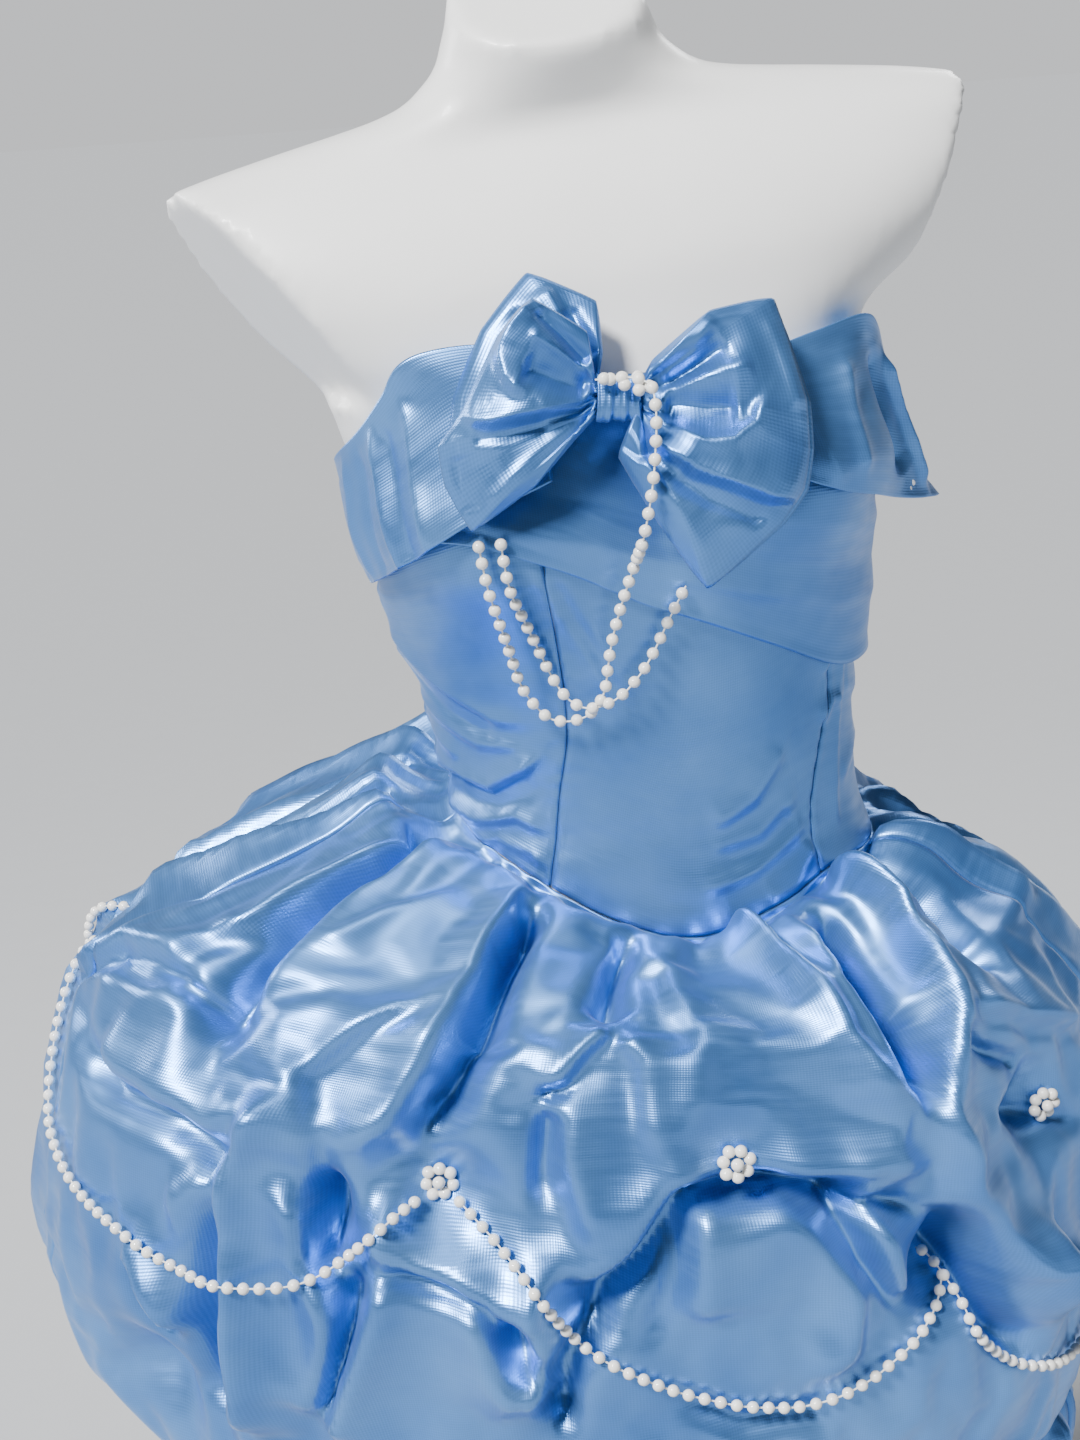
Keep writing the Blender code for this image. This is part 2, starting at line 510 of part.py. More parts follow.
def make_stand(finish, home):
    """A pole up into the form's underside, its collar and the round base."""
    floor = -WAIST_HEIGHT / CM
    under = FORM[0, 0]
    pole_top = (under - GAP) - floor
    collar = POLE_COLLAR
    turned("stand_pole", [
        (0.0, pole_top), (collar["radius"], pole_top),
        (collar["radius"], pole_top - collar["height"]),
        (POLE_RADIUS, pole_top - collar["height"] - 0.6), (POLE_RADIUS, BASE_MIDDLE + GAP),
        (0.0, BASE_MIDDLE + GAP)], (0, 0), finish, home, steps=20)
    turned("stand_base", [
        (0.0, BASE_MIDDLE), (3.0, BASE_MIDDLE), (BASE_RADIUS - 4.0, BASE_EDGE + 0.5),
        (BASE_RADIUS - 0.5, BASE_EDGE + 0.15), (BASE_RADIUS, BASE_EDGE - 0.2),
        (BASE_RADIUS, 0.0), (0.0, 0.0)], (0, 0), finish, home, steps=36)


# ---------------------------------------------------------------- the bodice


def panel_heights(angle, share):
    """Heights from the waist seam (share 0) to the neckline (share 1)."""
    low = seam(angle) + GAP
    high = smooth(NECKLINE, wrapped(angle), 1)
    return low + (high - low) * share


def bodice_grid(left_edge, right_edge, start, end, column, loose=None):
    """A panel between two seam lines, each given as angle by height, columns going round."""
    count = int(round((end - start) / column))
    around = np.linspace(0.0, 1.0, count + 1)[None, :]
    share = np.array(BODICE_ROWS)[:, None]
    base = start + (end - start) * around
    height = panel_heights(base + 0 * share, share)
    for _ in range(2):
        angle = left_edge(height) + (right_edge(height) - left_edge(height)) * around
        height = panel_heights(angle, share)
    angle[-1] = base[0]
    height[-1] = panel_heights(base[0], 0.0)
    out = np.full(height.shape, BODICE_OUT)
    if loose is not None:
        out = out + loose(height) * ease((0.45 - around) / 0.45)
    return body(angle, height, out)


def make_bodice(finish, home):
    """Front, side and back panels, 0.3 mm apart at their seams."""
    def princess(column):
        return lambda height: smooth(PRINCESS, height, column)

    def fixed(angle):
        return lambda height: np.full(np.shape(height), float(angle))

    def loose_edge(height):
        return smooth(RIGHT_EDGE, height, 1)

    def stand_out(height):
        return smooth(RIGHT_EDGE, height, 2)

    panels = (
        ("bodice_front", princess(1), princess(2), -36, 36, COLUMN, None),
        ("bodice_side_right", loose_edge, princess(1), -102, -36, COLUMN, stand_out),
        ("bodice_side_left", princess(2), fixed(96), 36, 96, COLUMN, None),
        ("bodice_back_left", fixed(96), fixed(180), 96, 180, PLAIN_COLUMN, None),
        ("bodice_back_right", fixed(180), fixed(255), 180, 258, PLAIN_COLUMN, None))
    for name, near, far, start, end, column, loose in panels:
        grid = drawn_back(bodice_grid(near, far, start, end, column, loose), GAP)
        sheet(name, grid, BODICE_WALL, finish, home)


def make_drape(finish, home):
    """The cross band over the bust, with its diagonal lower edge."""
    angle = np.arange(-60, 97, COLUMN, dtype=float)[None, :]
    share = np.linspace(1, 0, 7)[:, None]
    low = smooth(DRAPE, angle, 1)
    high = smooth(NECKLINE, angle, 1) - 0.8
    height = low + (high - low) * share
    edge = smooth(DRAPE, angle, 2)
    out = DRAPE_OUT + (edge - DRAPE_OUT) * (1 - share)
    out = out - (DRAPE_OUT - DRAPE_TOP_OUT) * ease((share - 0.8) / 0.2)
    sheet("bust_drape", body(angle, height, out), DRAPE_WALL, finish, home)


def collar_grid(rows, start, end, column):
    """A fold-over band: sewn on the bodice's top edge, over the fold and down to its free edge."""
    angle = np.linspace(start, end, int(round((end - start) / column)) + 1)
    low, rise, free, middle, top = (smooth(rows, angle, i) for i in range(1, 6))
    neck = smooth(NECKLINE, wrapped(angle), 1)
    fold = neck + rise
    lines = []
    for s in COLLAR_STATIONS:
        height = low + (fold - low) * s
        out = free * (1 - s) * (1 - 2 * s) + middle * 4 * s * (1 - s) + top * s * (2 * s - 1)
        lines.append(body(angle, height, out))
    lines.append(body(angle, neck + 0.75 * rise, top - 0.55))
    lines.append(body(angle, neck + COLLAR_SEAM["rise"], COLLAR_SEAM["out"]))
    return np.stack(lines[::-1])


def make_collars(finish, home):
    """Right, left and back stretches of the fold-over collar."""
    pieces = (("collar_right", COLLAR_RIGHT, -108, -18, COLUMN), ("collar_left", COLLAR_LEFT, 18, 96, COLUMN),
              ("collar_back", COLLAR_BACK, 96, 246, PLAIN_COLUMN))
    for name, rows, start, end, column in pieces:
        grid = drawn_back(collar_grid(rows, start, end, column), GAP)
        sheet(name, grid, COLLAR_WALL, finish, home)


# ---------------------------------------------------------------- the bow


def bow_point(across, up, out):
    """A point in the bow's own axes."""
    return (BOW_CENTRE + across[..., None] * BOW_RIGHT + up[..., None] * BOW_UP
            + out[..., None] * BOW_OUT)


def wing_grid(outline, loft, rows=6, columns_made=13):
    """A leaf gathered at the knot and spread to its outline."""
    at = np.linspace(0, len(outline) - 1, columns_made)
    index = np.column_stack([np.arange(len(outline)), outline])
    rim = np.stack([smooth(index, at, i) for i in (1, 2, 3)], -1)
    knot = 0.5 * (outline[0] + outline[-1])
    narrow = knot + (rim - knot) * np.array([0.0, KNOT_GATHER, 0.0])
    share = np.linspace(0, 1, rows)[:, None, None]
    points = narrow + (rim - narrow) * share
    middle = np.sin(np.linspace(0, np.pi, columns_made))[None, :]
    swell = loft * middle * np.sin(np.pi * share[..., 0])
    return bow_point(points[..., 0], points[..., 1], points[..., 2] + swell)


def make_bow(finish, home):
    """Two leaves to each wing, and the knot."""
    for name, outline in BOW_WINGS.items():
        grid = wing_grid(outline, BOW_LOFT[name])
        if np.dot(normals(grid).mean(axis=(0, 1)), BOW_OUT) < 0:
            grid = grid[:, ::-1]
        sheet(name, grid, BOW_WALL, finish, home)
    bpy.ops.mesh.primitive_cube_add(size=1.0)
    knot = bpy.context.active_object
    for owner in list(knot.users_collection):
        owner.objects.unlink(knot)
    home.objects.link(knot)
    knot.name = "bow_knot"
    knot.data.name = "bow_knot"
    knot.data.materials.append(finish)
    width, depth, height = (size * CM for size in KNOT_SIZE)
    knot.data.transform(Matrix.Diagonal((width, depth, height, 1.0)))
    axes = Matrix([BOW_RIGHT, -BOW_OUT, BOW_UP]).transposed().to_4x4()
    knot.matrix_world = Matrix.Translation(Vector(place(BOW_CENTRE + 0.05 * BOW_OUT))) @ axes
    bevel = knot.modifiers.new("edge", "BEVEL")
    bevel.width = KNOT_BEVEL * CM
    bevel.segments = 2


# ---------------------------------------------------------------- the skirt


def make_skirt(finish, home):
    """Four gores from the waist to the hem, folded and caught up."""
    along = np.array(SKIRT_ALONG)[:, None]
    for name, start, end in SKIRT_GORES:
        count = int(round((end - start) / COLUMN))
        angle = np.linspace(start, end, count + 1)[None, :]
        grid = drawn_back(skirt(angle, along), SKIRT_INSET)
        sheet(name, grid, SKIRT_WALL, finish, home)


# ---------------------------------------------------------------- pearls


def smooth_route(points, spacing):
    """Points at an even spacing along a smooth curve through a route."""
    index = np.arange(len(points), dtype=float)
    rows = np.column_stack([index, points])
    fine = np.linspace(0, len(points) - 1, 40 * len(points))
    curve = np.stack([smooth(rows, fine, i) for i in (1, 2, 3)], -1)
    length = np.concatenate([[0], np.cumsum(np.linalg.norm(np.diff(curve, axis=0), axis=1))])
    count = max(4, int(round(length[-1] / spacing)))
    at = np.linspace(0, length[-1], count + 1)
    return np.stack([np.interp(at, length, curve[:, i]) for i in range(3)], -1)


def strand(name, route, finish, home):
    """A strand of pearls as a plain round cord."""
    points = place(smooth_route(route, 2.6 * PEARL))
    data = bpy.data.curves.new(name, "CURVE")
    data.dimensions = "3D"
    data.bevel_depth = PEARL / 2 * CM
    data.bevel_resolution = 2
    data.use_fill_caps = True
    data.resolution_u = 1
    data.render_resolution_u = 0
    line = data.splines.new("POLY")
    line.points.add(len(points) - 1)
    for spot, point in zip(line.points, points):
        spot.co = (*point, 1.0)
    return add(name, data, finish, home)


def flower(name, angle, along, lift, finish, home):
    """A low dome where the skirt is caught up."""
    spot = skirt(np.array([[angle]]), np.array([[along]]), 0.0)[0, 0]
    ahead = skirt(np.array([[angle]]), np.array([[along]]), 1.0)[0, 0] - spot
    direction = Vector(ahead).normalized()
    base = place(spot) + np.array(direction) * (FLOWER_HEIGHT * 0.5 + lift) * CM
    mesh = bmesh.new()
    bmesh.ops.create_uvsphere(mesh, u_segments=12, v_segments=6, radius=1.0)
    scale = Matrix.Diagonal((FLOWER_RADIUS * CM, FLOWER_RADIUS * CM, FLOWER_HEIGHT / 2 * CM, 1.0))
    bmesh.ops.transform(mesh, matrix=scale, verts=mesh.verts)
    data = bpy.data.meshes.new(name)
    mesh.to_mesh(data)
    mesh.free()
    data.shade_smooth()
    obj = add(name, data, finish, home)
    turn = direction.to_track_quat("Z", "Y").to_matrix().to_4x4()
    obj.matrix_world = Matrix.Translation(Vector(base)) @ turn
    return obj


def make_pearls(finish, home):
    """Strands on the bow, garlands and flowers on the skirt."""
    routes = [body(*np.array(rows).T) for rows in (STRAND_1, STRAND_2)]
    routes[0] = np.vstack([bow_point(*np.array(STRAND_1_TOP).T), routes[0]])
    for number, route in enumerate(routes, 1):
        strand(f"pearl_bow_strand_{number}", route, finish, home)
    for number, rows in enumerate(GARLANDS, 1):
        table = np.array(rows)
        route = skirt(table[:, 0], table[:, 1], table[:, 2])
        strand(f"pearl_garland_{number}", route, finish, home)
    for number, (angle, along, lift) in enumerate(FLOWERS, 1):
        flower(f"pearl_flower_{number}", angle, along, lift, finish, home)


def main():
    """Builds the whole part."""
    clear_scene()
    home = collection("homecoming_dress")
    satin = material("satin_blue", (0.33, 0.55, 0.88), 0.3)
    plastic = material("form_white", (0.86, 0.86, 0.84), 0.35)
    metal = material("stand_white", (0.8, 0.8, 0.8), 0.3)
    pearl = material("pearl", (0.9, 0.89, 0.84), 0.2)
    make_form(plastic, home, collection("cutters"))
    make_stand(metal, home)
    make_bodice(satin, home)
    make_drape(satin, home)
    make_collars(satin, home)
    make_bow(satin, home)
    make_skirt(satin, home)
    make_pearls(pearl, home)


main()
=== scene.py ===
"""Looks of a strapless pick-up dress on its torso form.

Shapes are worked out in dress coordinates: centimetres from the middle of the
waist, +X to the picture's right, -Y to the front, +Z up.  An angle goes round
the body from the front (0) towards +X (90).  place() turns them into metres.
"""
import math

import bpy
import bmesh
import numpy as np
from mathutils import Matrix, Vector
from mathutils.bvhtree import BVHTree


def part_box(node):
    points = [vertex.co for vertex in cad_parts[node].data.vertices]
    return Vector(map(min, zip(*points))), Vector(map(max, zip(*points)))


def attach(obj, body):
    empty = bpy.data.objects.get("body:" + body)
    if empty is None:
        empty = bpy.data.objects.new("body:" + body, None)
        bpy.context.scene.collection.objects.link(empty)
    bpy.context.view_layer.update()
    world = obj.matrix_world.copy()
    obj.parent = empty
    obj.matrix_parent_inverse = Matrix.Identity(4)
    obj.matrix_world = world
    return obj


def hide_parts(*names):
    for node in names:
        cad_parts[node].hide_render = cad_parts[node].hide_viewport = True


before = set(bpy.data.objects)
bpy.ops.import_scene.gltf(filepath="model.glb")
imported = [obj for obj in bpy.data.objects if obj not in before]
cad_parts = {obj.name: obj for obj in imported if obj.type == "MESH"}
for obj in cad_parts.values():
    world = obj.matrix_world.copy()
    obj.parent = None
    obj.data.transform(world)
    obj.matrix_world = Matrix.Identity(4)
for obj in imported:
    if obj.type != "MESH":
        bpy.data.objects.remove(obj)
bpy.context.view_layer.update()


def line_rows(lead, per, rows):
    """Drawn lines, from rows of some numbers and then two for each point, the second divided by per."""
    return tuple((*row[:lead], tuple((a, b / per) for a, b in zip(row[lead::2], row[lead + 1::2])))
                 for row in rows)


# ---------------------------------------------------------------- sizes, as in the CAD model
WAIST_HEIGHT = 1.04
CM = 0.01
# The form, a row for each level ring (cm).
# columns: height, half width, depth in front, depth behind, squareness, forward shift
FORM = np.array([
    (-30.0, 15.4, 9.2, 10.6, 2.3, 0.0),
    (-20.0, 17.0, 10.2, 12.2, 2.3, 0.0),
    (-12.0, 16.0, 10.6, 11.6, 2.2, 0.0),
    (-5.0, 13.2, 9.9, 9.8, 2.1, 0.0),
    (0.0, 11.6, 9.2, 9.0, 2.1, 0.0),
    (6.0, 11.6, 9.2, 9.5, 2.1, 0.0),
    (12.0, 12.8, 9.6, 10.6, 2.1, 0.0),
    (18.0, 13.7, 9.9, 11.4, 2.1, 0.0),
    (23.0, 14.3, 9.4, 11.8, 2.1, 0.0),
    (26.6, 15.8, 8.7, 11.4, 2.2, 0.0),
    (28.4, 18.8, 8.2, 10.9, 2.2, 0.1),
    (31.0, 22.0, 7.6, 10.2, 2.3, 0.3),
    (34.4, 24.4, 6.0, 8.2, 2.4, 0.6),
    (36.6, 24.0, 4.6, 6.4, 2.4, 0.9),
    (37.8, 20.0, 4.0, 5.8, 2.3, 1.2),
    (38.7, 14.8, 4.0, 5.6, 2.2, 1.4),
    (39.5, 9.8, 4.4, 5.6, 2.1, 1.4),
    (41.0, 6.7, 4.8, 5.5, 2.0, 1.0),
    (43.0, 5.5, 5.0, 5.2, 2.0, 0.4),
    (50.0, 5.2, 5.1, 5.1, 2.0, -1.6)])
FORM_SNUG = 0.1              # how far the form fills its outline, so the bodice just touches it
BUST = {"angle": 33.0, "height": 18.0, "rise": 2.3, "spread": 24.0, "tall": 4.8}
# The ribs lean over the waist, towards the wearer's right.
LEAN = {"degrees": 5.0, "pivot": 5.0, "start": -2.0, "end": 12.0}
# Flat ends of the form at the shoulders and the neck (cm, slopes and turns in degrees).
ARM_BLOCK = {"bottom": 25.6, "top": 45.0, "reach": 34.0, "deep": 14.0}
ARM_CUTS = {-1: {"x": 16.4, "slope": 28.5, "turn": 16.0, "back": 7.5},
            1: {"x": 16.2, "slope": 29.0, "turn": 0.0, "back": 0.0}}
NECK_CUT = {"y": -0.2, "height": 44.8, "slope": 34.0}

# The waist seam (cm above the waist), pointed in front.  columns: angle, height
SEAM = np.array([
    (-180, 1.6), (-140, 1.9), (-99, 1.6), (-70, 0.2), (-39, -2.0), (-18, -4.1), (0, -5.4),
    (18, -4.6), (39, -3.3), (62, -3.3), (81, -3.2), (110, -2.0), (150, 0.4), (180, 1.6)], float)
# Top edge of the bodice.  columns: angle, height
NECKLINE = np.array([
    (-180, 17.0), (-140, 18.0), (-103, 20.6), (-65, 23.4), (-48, 25.4), (-30, 27.2), (-16, 27.2),
    (-3, 25.8), (8, 25.4), (22, 24.8), (36, 25.0), (57, 25.0), (75, 23.4), (95, 21.0), (140, 18.0),
    (180, 17.0)], float)
# Where the princess seams run.  columns: height, right seam angle, left seam angle
PRINCESS = np.array([
    (-5, -36, 36), (0, -35.5, 37), (3, -34, 42), (6, -30, 47), (9, -27, 48),
    (17, -23, 44), (27, -20, 38)], float)
# The loose edge of the right side panel.  columns: height, angle, how far it stands out
RIGHT_EDGE = np.array([
    (-2, -102, 0.0), (1.6, -102, 0.0), (3.2, -95, 0.0), (5.2, -97, 0.3), (7.4, -96, 0.0),
    (10.0, -101, 0.3), (13.6, -104, 0.4), (16.5, -102, 0.1), (19, -104, 0.0), (27, -104, 0.0)], float)
BODICE_OUT = 0.50            # outer face of the bodice from the form's skin
BACK_START = 96.0            # angle where the side panels and the drape end and the back starts
# The skirt's outline from waist to hem, a row for each section.
# columns: along, height right side, height left side, radius right, front, left, back
SKIRT = np.array([
    (0.00, 0.0, 0.0, 12.3, 9.9, 12.3, 9.8),
    (0.02, -0.5, -0.5, 12.6, 10.2, 12.6, 10.1),
    (0.06, 1.0, -1.0, 15.0, 12.4, 14.4, 12.6),
    (0.12, 0.3, -3.8, 19.5, 15.2, 17.6, 16.0),
    (0.20, -2.0, -6.9, 26.0, 18.2, 21.4, 20.0),
    (0.28, -4.4, -11.0, 31.6, 20.3, 24.4, 23.2),
    (0.36, -8.8, -15.8, 35.2, 21.6, 26.2, 25.4),
    (0.44, -16.0, -21.0, 37.2, 22.4, 26.9, 26.6),
    (0.52, -23.5, -26.8, 37.8, 22.8, 27.1, 27.0),
    (0.60, -30.5, -32.5, 36.0, 22.6, 26.4, 26.0),
    (0.66, -34.8, -36.5, 32.6, 21.6, 25.2, 24.2),
    (0.70, -36.2, -37.6, 30.0, 20.8, 24.2, 23.2),
    (0.75, -38.6, -39.5, 28.8, 20.6, 23.8, 23.0),
    (0.84, -43.8, -44.3, 28.8, 21.0, 23.8, 23.4),
    (0.94, -49.8, -50.2, 27.4, 19.6, 22.6, 22.0),
    (1.00, -53.0, -53.2, 25.0, 17.6, 21.0, 20.0)])
SKIRT_LENGTH = 74.0          # cm of cloth from waist to hem
SKIRT_FLARE = 12.0
# Bust drape: its diagonal lower edge and how far it stands off.
# columns: angle, lower edge height, stand-off at that edge
DRAPE = np.array([
    (-60, 18.6, 0.92), (-51, 18.8, 0.94), (-32, 18.4, 0.92), (-21.5, 17.0, 0.92), (-3.5, 13.7, 0.90),
    (6.5, 12.3, 0.90), (24, 10.0, 0.95), (48, 7.6, 1.1), (72, 7.2, 1.4), (96, 7.6, 1.3)], float)
DRAPE_TOP_OUT = 0.78
DRAPE_OUT = 0.92
DRAPE_LEAST_OUT = 0.70
# Fold-over collars.  columns: angle, free edge height, rise of the fold over the neckline,
# stand-off at the free edge, at the middle, at the fold
COLLAR_RIGHT = np.array([
    (-108, 15.8, 0.9, 1.1, 1.2, 1.0), (-90, 15.4, 0.9, 1.1, 1.2, 1.0), (-66, 16.6, 0.9, 1.5, 1.6, 1.1),
    (-50, 18.0, 1.0, 1.9, 2.0, 1.3), (-30, 20.4, 1.2, 1.8, 2.0, 1.3), (-18, 21.4, 1.0, 1.7, 1.8, 1.3)],
    float)
COLLAR_LEFT = np.array([
    (18, 20.6, 0.8, 1.6, 1.8, 1.3), (30, 18.6, 0.9, 1.7, 2.0, 1.3), (48, 16.9, 1.0, 2.0, 2.1, 1.3),
    (60, 16.0, 1.0, 2.6, 2.2, 1.4), (72, 15.2, 0.9, 3.9, 2.5, 1.4), (84, 14.6, 0.9, 5.0, 2.8, 1.4),
    (96, 14.4, 0.9, 3.6, 2.4, 1.3)], float)
COLLAR_BACK = np.array([
    (96, 14.4, 0.9, 3.6, 2.4, 1.3), (120, 13.4, 0.8, 2.3, 1.9, 1.2), (150, 12.2, 0.8, 1.7, 1.6, 1.2),
    (180, 11.8, 0.8, 1.6, 1.5, 1.2), (210, 12.4, 0.8, 1.6, 1.5, 1.2), (234, 13.8, 0.8, 1.6, 1.5, 1.2),
    (246, 14.6, 0.8, 1.6, 1.5, 1.2)], float)
COLLAR_SEAM = {"rise": 0.04, "out": 0.55}
# The bow lies on the chest, in its own axes, from the middle of its knot.
BOW_CENTRE = np.array([-3.1, -12.3, 24.8])
BOW_RIGHT = np.array([0.982, -0.176, -0.067])
BOW_UP = np.array([0.115, 0.277, 0.954])
BOW_OUT = np.array([-0.150, -0.944, 0.292])

# Pearl strands: 6.5 mm beads on a thread.
PEARL = 0.65
# Routes over the bust.  columns: angle, height, stand-off (cm)
STRAND_1 = (
    (-5.6, 16.4, 1.45), (-7.6, 15.3, 1.45),
    (-9.8, 14.0, 1.37), (-12.5, 12.3, 1.38), (-14.6, 10.7, 1.37), (-16.6, 9.4, 1.27), (-20.5, 8.3, 1.15),
    (-25.5, 7.9, 1.1), (-30.5, 8.0, 1.1), (-34.0, 8.9, 1.1), (-35.8, 10.3, 1.15), (-35.3, 12.2, 1.2),
    (-34.6, 14.5, 1.25), (-33.8, 16.6, 1.4), (-33.3, 19.2, 1.65))
# Its start, over the knot and down in front of the wing, in the bow's own axes.
# columns: across, up, out
STRAND_1_TOP = (
    (-1.2, 0.7, 1.35), (0.2, 0.8, 1.4), (1.4, 0.5, 1.9), (1.75, -0.8, 2.2), (1.75, -2.4, 2.3),
    (1.65, -4.2, 2.1), (1.45, -5.8, 1.4), (1.2, -7.2, 0.4))
STRAND_2 = (
    (3.2, 14.6, 1.35), (-0.6, 12.8, 1.25), (-4.0, 11.4, 1.35), (-7.5, 10.4, 1.7), (-12.5, 9.4, 2.0),
    (-17.4, 8.9, 2.0), (-21.5, 8.9, 1.9), (-25.0, 9.5, 1.6), (-27.4, 10.7, 1.2), (-28.6, 12.4, 1.1),
    (-29.4, 14.4, 1.15), (-29.6, 16.4, 1.4), (-29.0, 19.2, 1.7))
# Garlands round the skirt, from flower to flower: the angle and the along of each point.
GARLANDS = [np.reshape(row, (-1, 2)) for row in (
    (-105.7, 0.2793, -103, 0.293, -100, 0.312, -97, 0.335, -94, 0.362, -90, 0.392, -84, 0.416, -76, 0.43,
     -67, 0.444, -58, 0.456, -50, 0.464, -42, 0.463, -37, 0.45, -33.4, 0.43, -30.6, 0.412, -28.6, 0.4),
    (-24.6, 0.398, -21.8, 0.42, -19.5, 0.443, -17, 0.468, -14, 0.491, -10, 0.513, -5, 0.53, 0, 0.54, 5,
     0.541, 10, 0.535, 14, 0.523, 17.5, 0.508, 20, 0.49, 20.9, 0.47),
    (22.9, 0.47, 24.1, 0.5, 26.5, 0.527, 31, 0.553, 37, 0.575, 44, 0.59, 52, 0.592, 61, 0.575, 69, 0.545,
     76, 0.505, 81.5, 0.46, 85.5, 0.42, 87, 0.402),
    (88.8, 0.4005, 92, 0.43, 97, 0.462, 104, 0.487, 112, 0.497, 120, 0.487, 127, 0.462, 132, 0.432, 135,
     0.412),
    (136.9, 0.4105, 141, 0.438, 147, 0.468, 154, 0.488, 162, 0.49, 169, 0.47, 173, 0.436, 174.6, 0.401),
    (177.4, 0.401, 182, 0.436, 190, 0.464, 196, 0.482, 203, 0.478, 209, 0.452, 213.2, 0.4085),
    (214.8, 0.4085, 218.5, 0.438, 223, 0.455, 229, 0.458, 236, 0.44, 243, 0.4, 249, 0.34, 252.6, 0.29))]
# Pearl flowers.  columns: angle, along
FLOWERS = ((-106, 0.262), (-26.5, 0.386), (-2, 0.372), (41, 0.37), (88, 0.388), (136, 0.398),
           (176, 0.388), (214, 0.398))


# ---------------------------------------------------------------- looks
TINY, FAR = 1e-9, 1e9
UV_PER_CM = 0.1
FLOOR_COLOUR = (0.42, 0.43, 0.445)
CLOTH_WALL = 0.05            # cm, thickness of the cloth that shows
THICK_WALL = 0.09            # and of what is folded double
WING_WALL = 0.07
WEAVE_SCALE = 22.0

CAMERA = {"at": (-24.85, -117.6, 41.22), "lens": 54.0, "right": (0.9821, -0.1762, -0.0667),
          "up": (0.1145, 0.2772, 0.954), "back": (-0.1496, -0.9445, 0.2924)}
# The key is a wide sun, so that the floor is evenly lit.  It shines along KEY_WAY.
KEY_WAY = (0.56, 0.50, -0.78)
KEY_POWER = 8.0
KEY_SPREAD = 13.0            # degrees
# Area lights.  name: (place in metres, size in metres, watts, colour)
LIGHTS = {
    "fill": ((2.4, -1.6, 1.5), 1.0, 2.0, (0.94, 0.97, 1.0)),
    "rim": ((1.5, 1.9, 2.4), 0.7, 22.0, (0.97, 0.98, 1.0)),
    "back": ((-2.0, 1.5, 1.9), 0.7, 30.0, (0.97, 0.98, 1.0)),
    "top": ((-0.3, -0.5, 3.0), 0.8, 10.0, (1.0, 1.0, 1.0))}
LIGHT_AIM = (0.0, 0.0, 1.05)
WORLD_COLOUR = (0.80, 0.84, 0.90)
WORLD_STRENGTH = 0.10
BACKDROP_COLOUR = (0.80, 0.814, 0.838)
BACKDROP_STRENGTH = 0.932
FLOOR_HALF = 60.0

# The skirt's grid: the simulation has SKIRT_ROWS rows and a column every RING_STEP degrees, and
# the cloth that shows is FINER times finer.
SKIRT_ROWS = 91
RING_START, RING_END, RING_STEP = -84, 276, 1.25
FINER = 2
# columns: first angle, last angle, which share of the grid's lines it keeps (1 in that many)
GORES = {"skirt_front": (-84, 66, 1), "skirt_side_left": (66, 114, 2),
         "skirt_back_left": (114, 186, 2), "skirt_back_right": (186, 276, 2)}
# How firmly the settling skirt is held, from 0 to 1: everywhere, on the garlands' lines, at the hem
HOLD = {"cloth": 0.30, "garland": 0.75, "hem": 0.8}
SETTLE_FRAMES = 24
SETTLE_GRAVITY = 0.5
CLOTH_SETTINGS = {
    "quality": 4, "mass": 0.2, "tension_stiffness": 15, "compression_stiffness": 15,
    "shear_stiffness": 8, "bending_stiffness": 6.0, "air_damping": 3, "vertex_group_mass": "hold",
    "pin_stiffness": 1.0, "shrink_min": -0.026, "use_pressure": True, "uniform_pressure_force": 1.0}
SETTLE_CAP = 2.5             # cm, the farthest that settling moves a point
VALLEY_DEPTH = 1.6           # how much deeper and higher than drawn the skirt's creases are made
RIDGE_HEIGHT = 1.6
RIDGE_LEAN = 0.22            # how far a ridge leans over towards its valley, for its height
STEEPEST = 0.44              # the least width of a ridge's steep side, for its height
EDGE_TUCK = 0.012            # cm that side edges are drawn back, so that neighbours don't touch
SEAM_TUCK = 0.05             # cm that the gores' edges sink into their seams
# What is added to the skirt round its lower tuck.  columns: along, tall, rise (cm)
TUCK_FILL = ((0.69, 0.030, 0.7), (0.735, 0.018, -0.5), (0.80, 0.04, -0.2))
LOW_FOLDS = 1.6              # how much higher still the ridges under LOW_FROM are that show
LOW_FROM = 0.42
# Where the settled cloth is drawn back in.  columns: angle, along, reach round, reach down, cm
DRAWN_IN = ((-96, 0.38, 22, 0.12, 0.9), (-100, 0.12, 40, 0.10, 1.6), (190, 0.10, 70, 0.10, 0.8))
FORM_VOXEL = 0.48            # cm, the form's mesh size
WING_GRID = (56, 200)
WING_GATHER = 0.12           # how narrow a wing is at the knot, as a share of its width
KNOT_SIZE = (2.1, 1.5, 2.5)  # cm across, out and up
BOW_LOFT = {"bow_right_back": 0.6, "bow_right_front": 1.3, "bow_left_back": 0.8, "bow_left_front": 1.4}
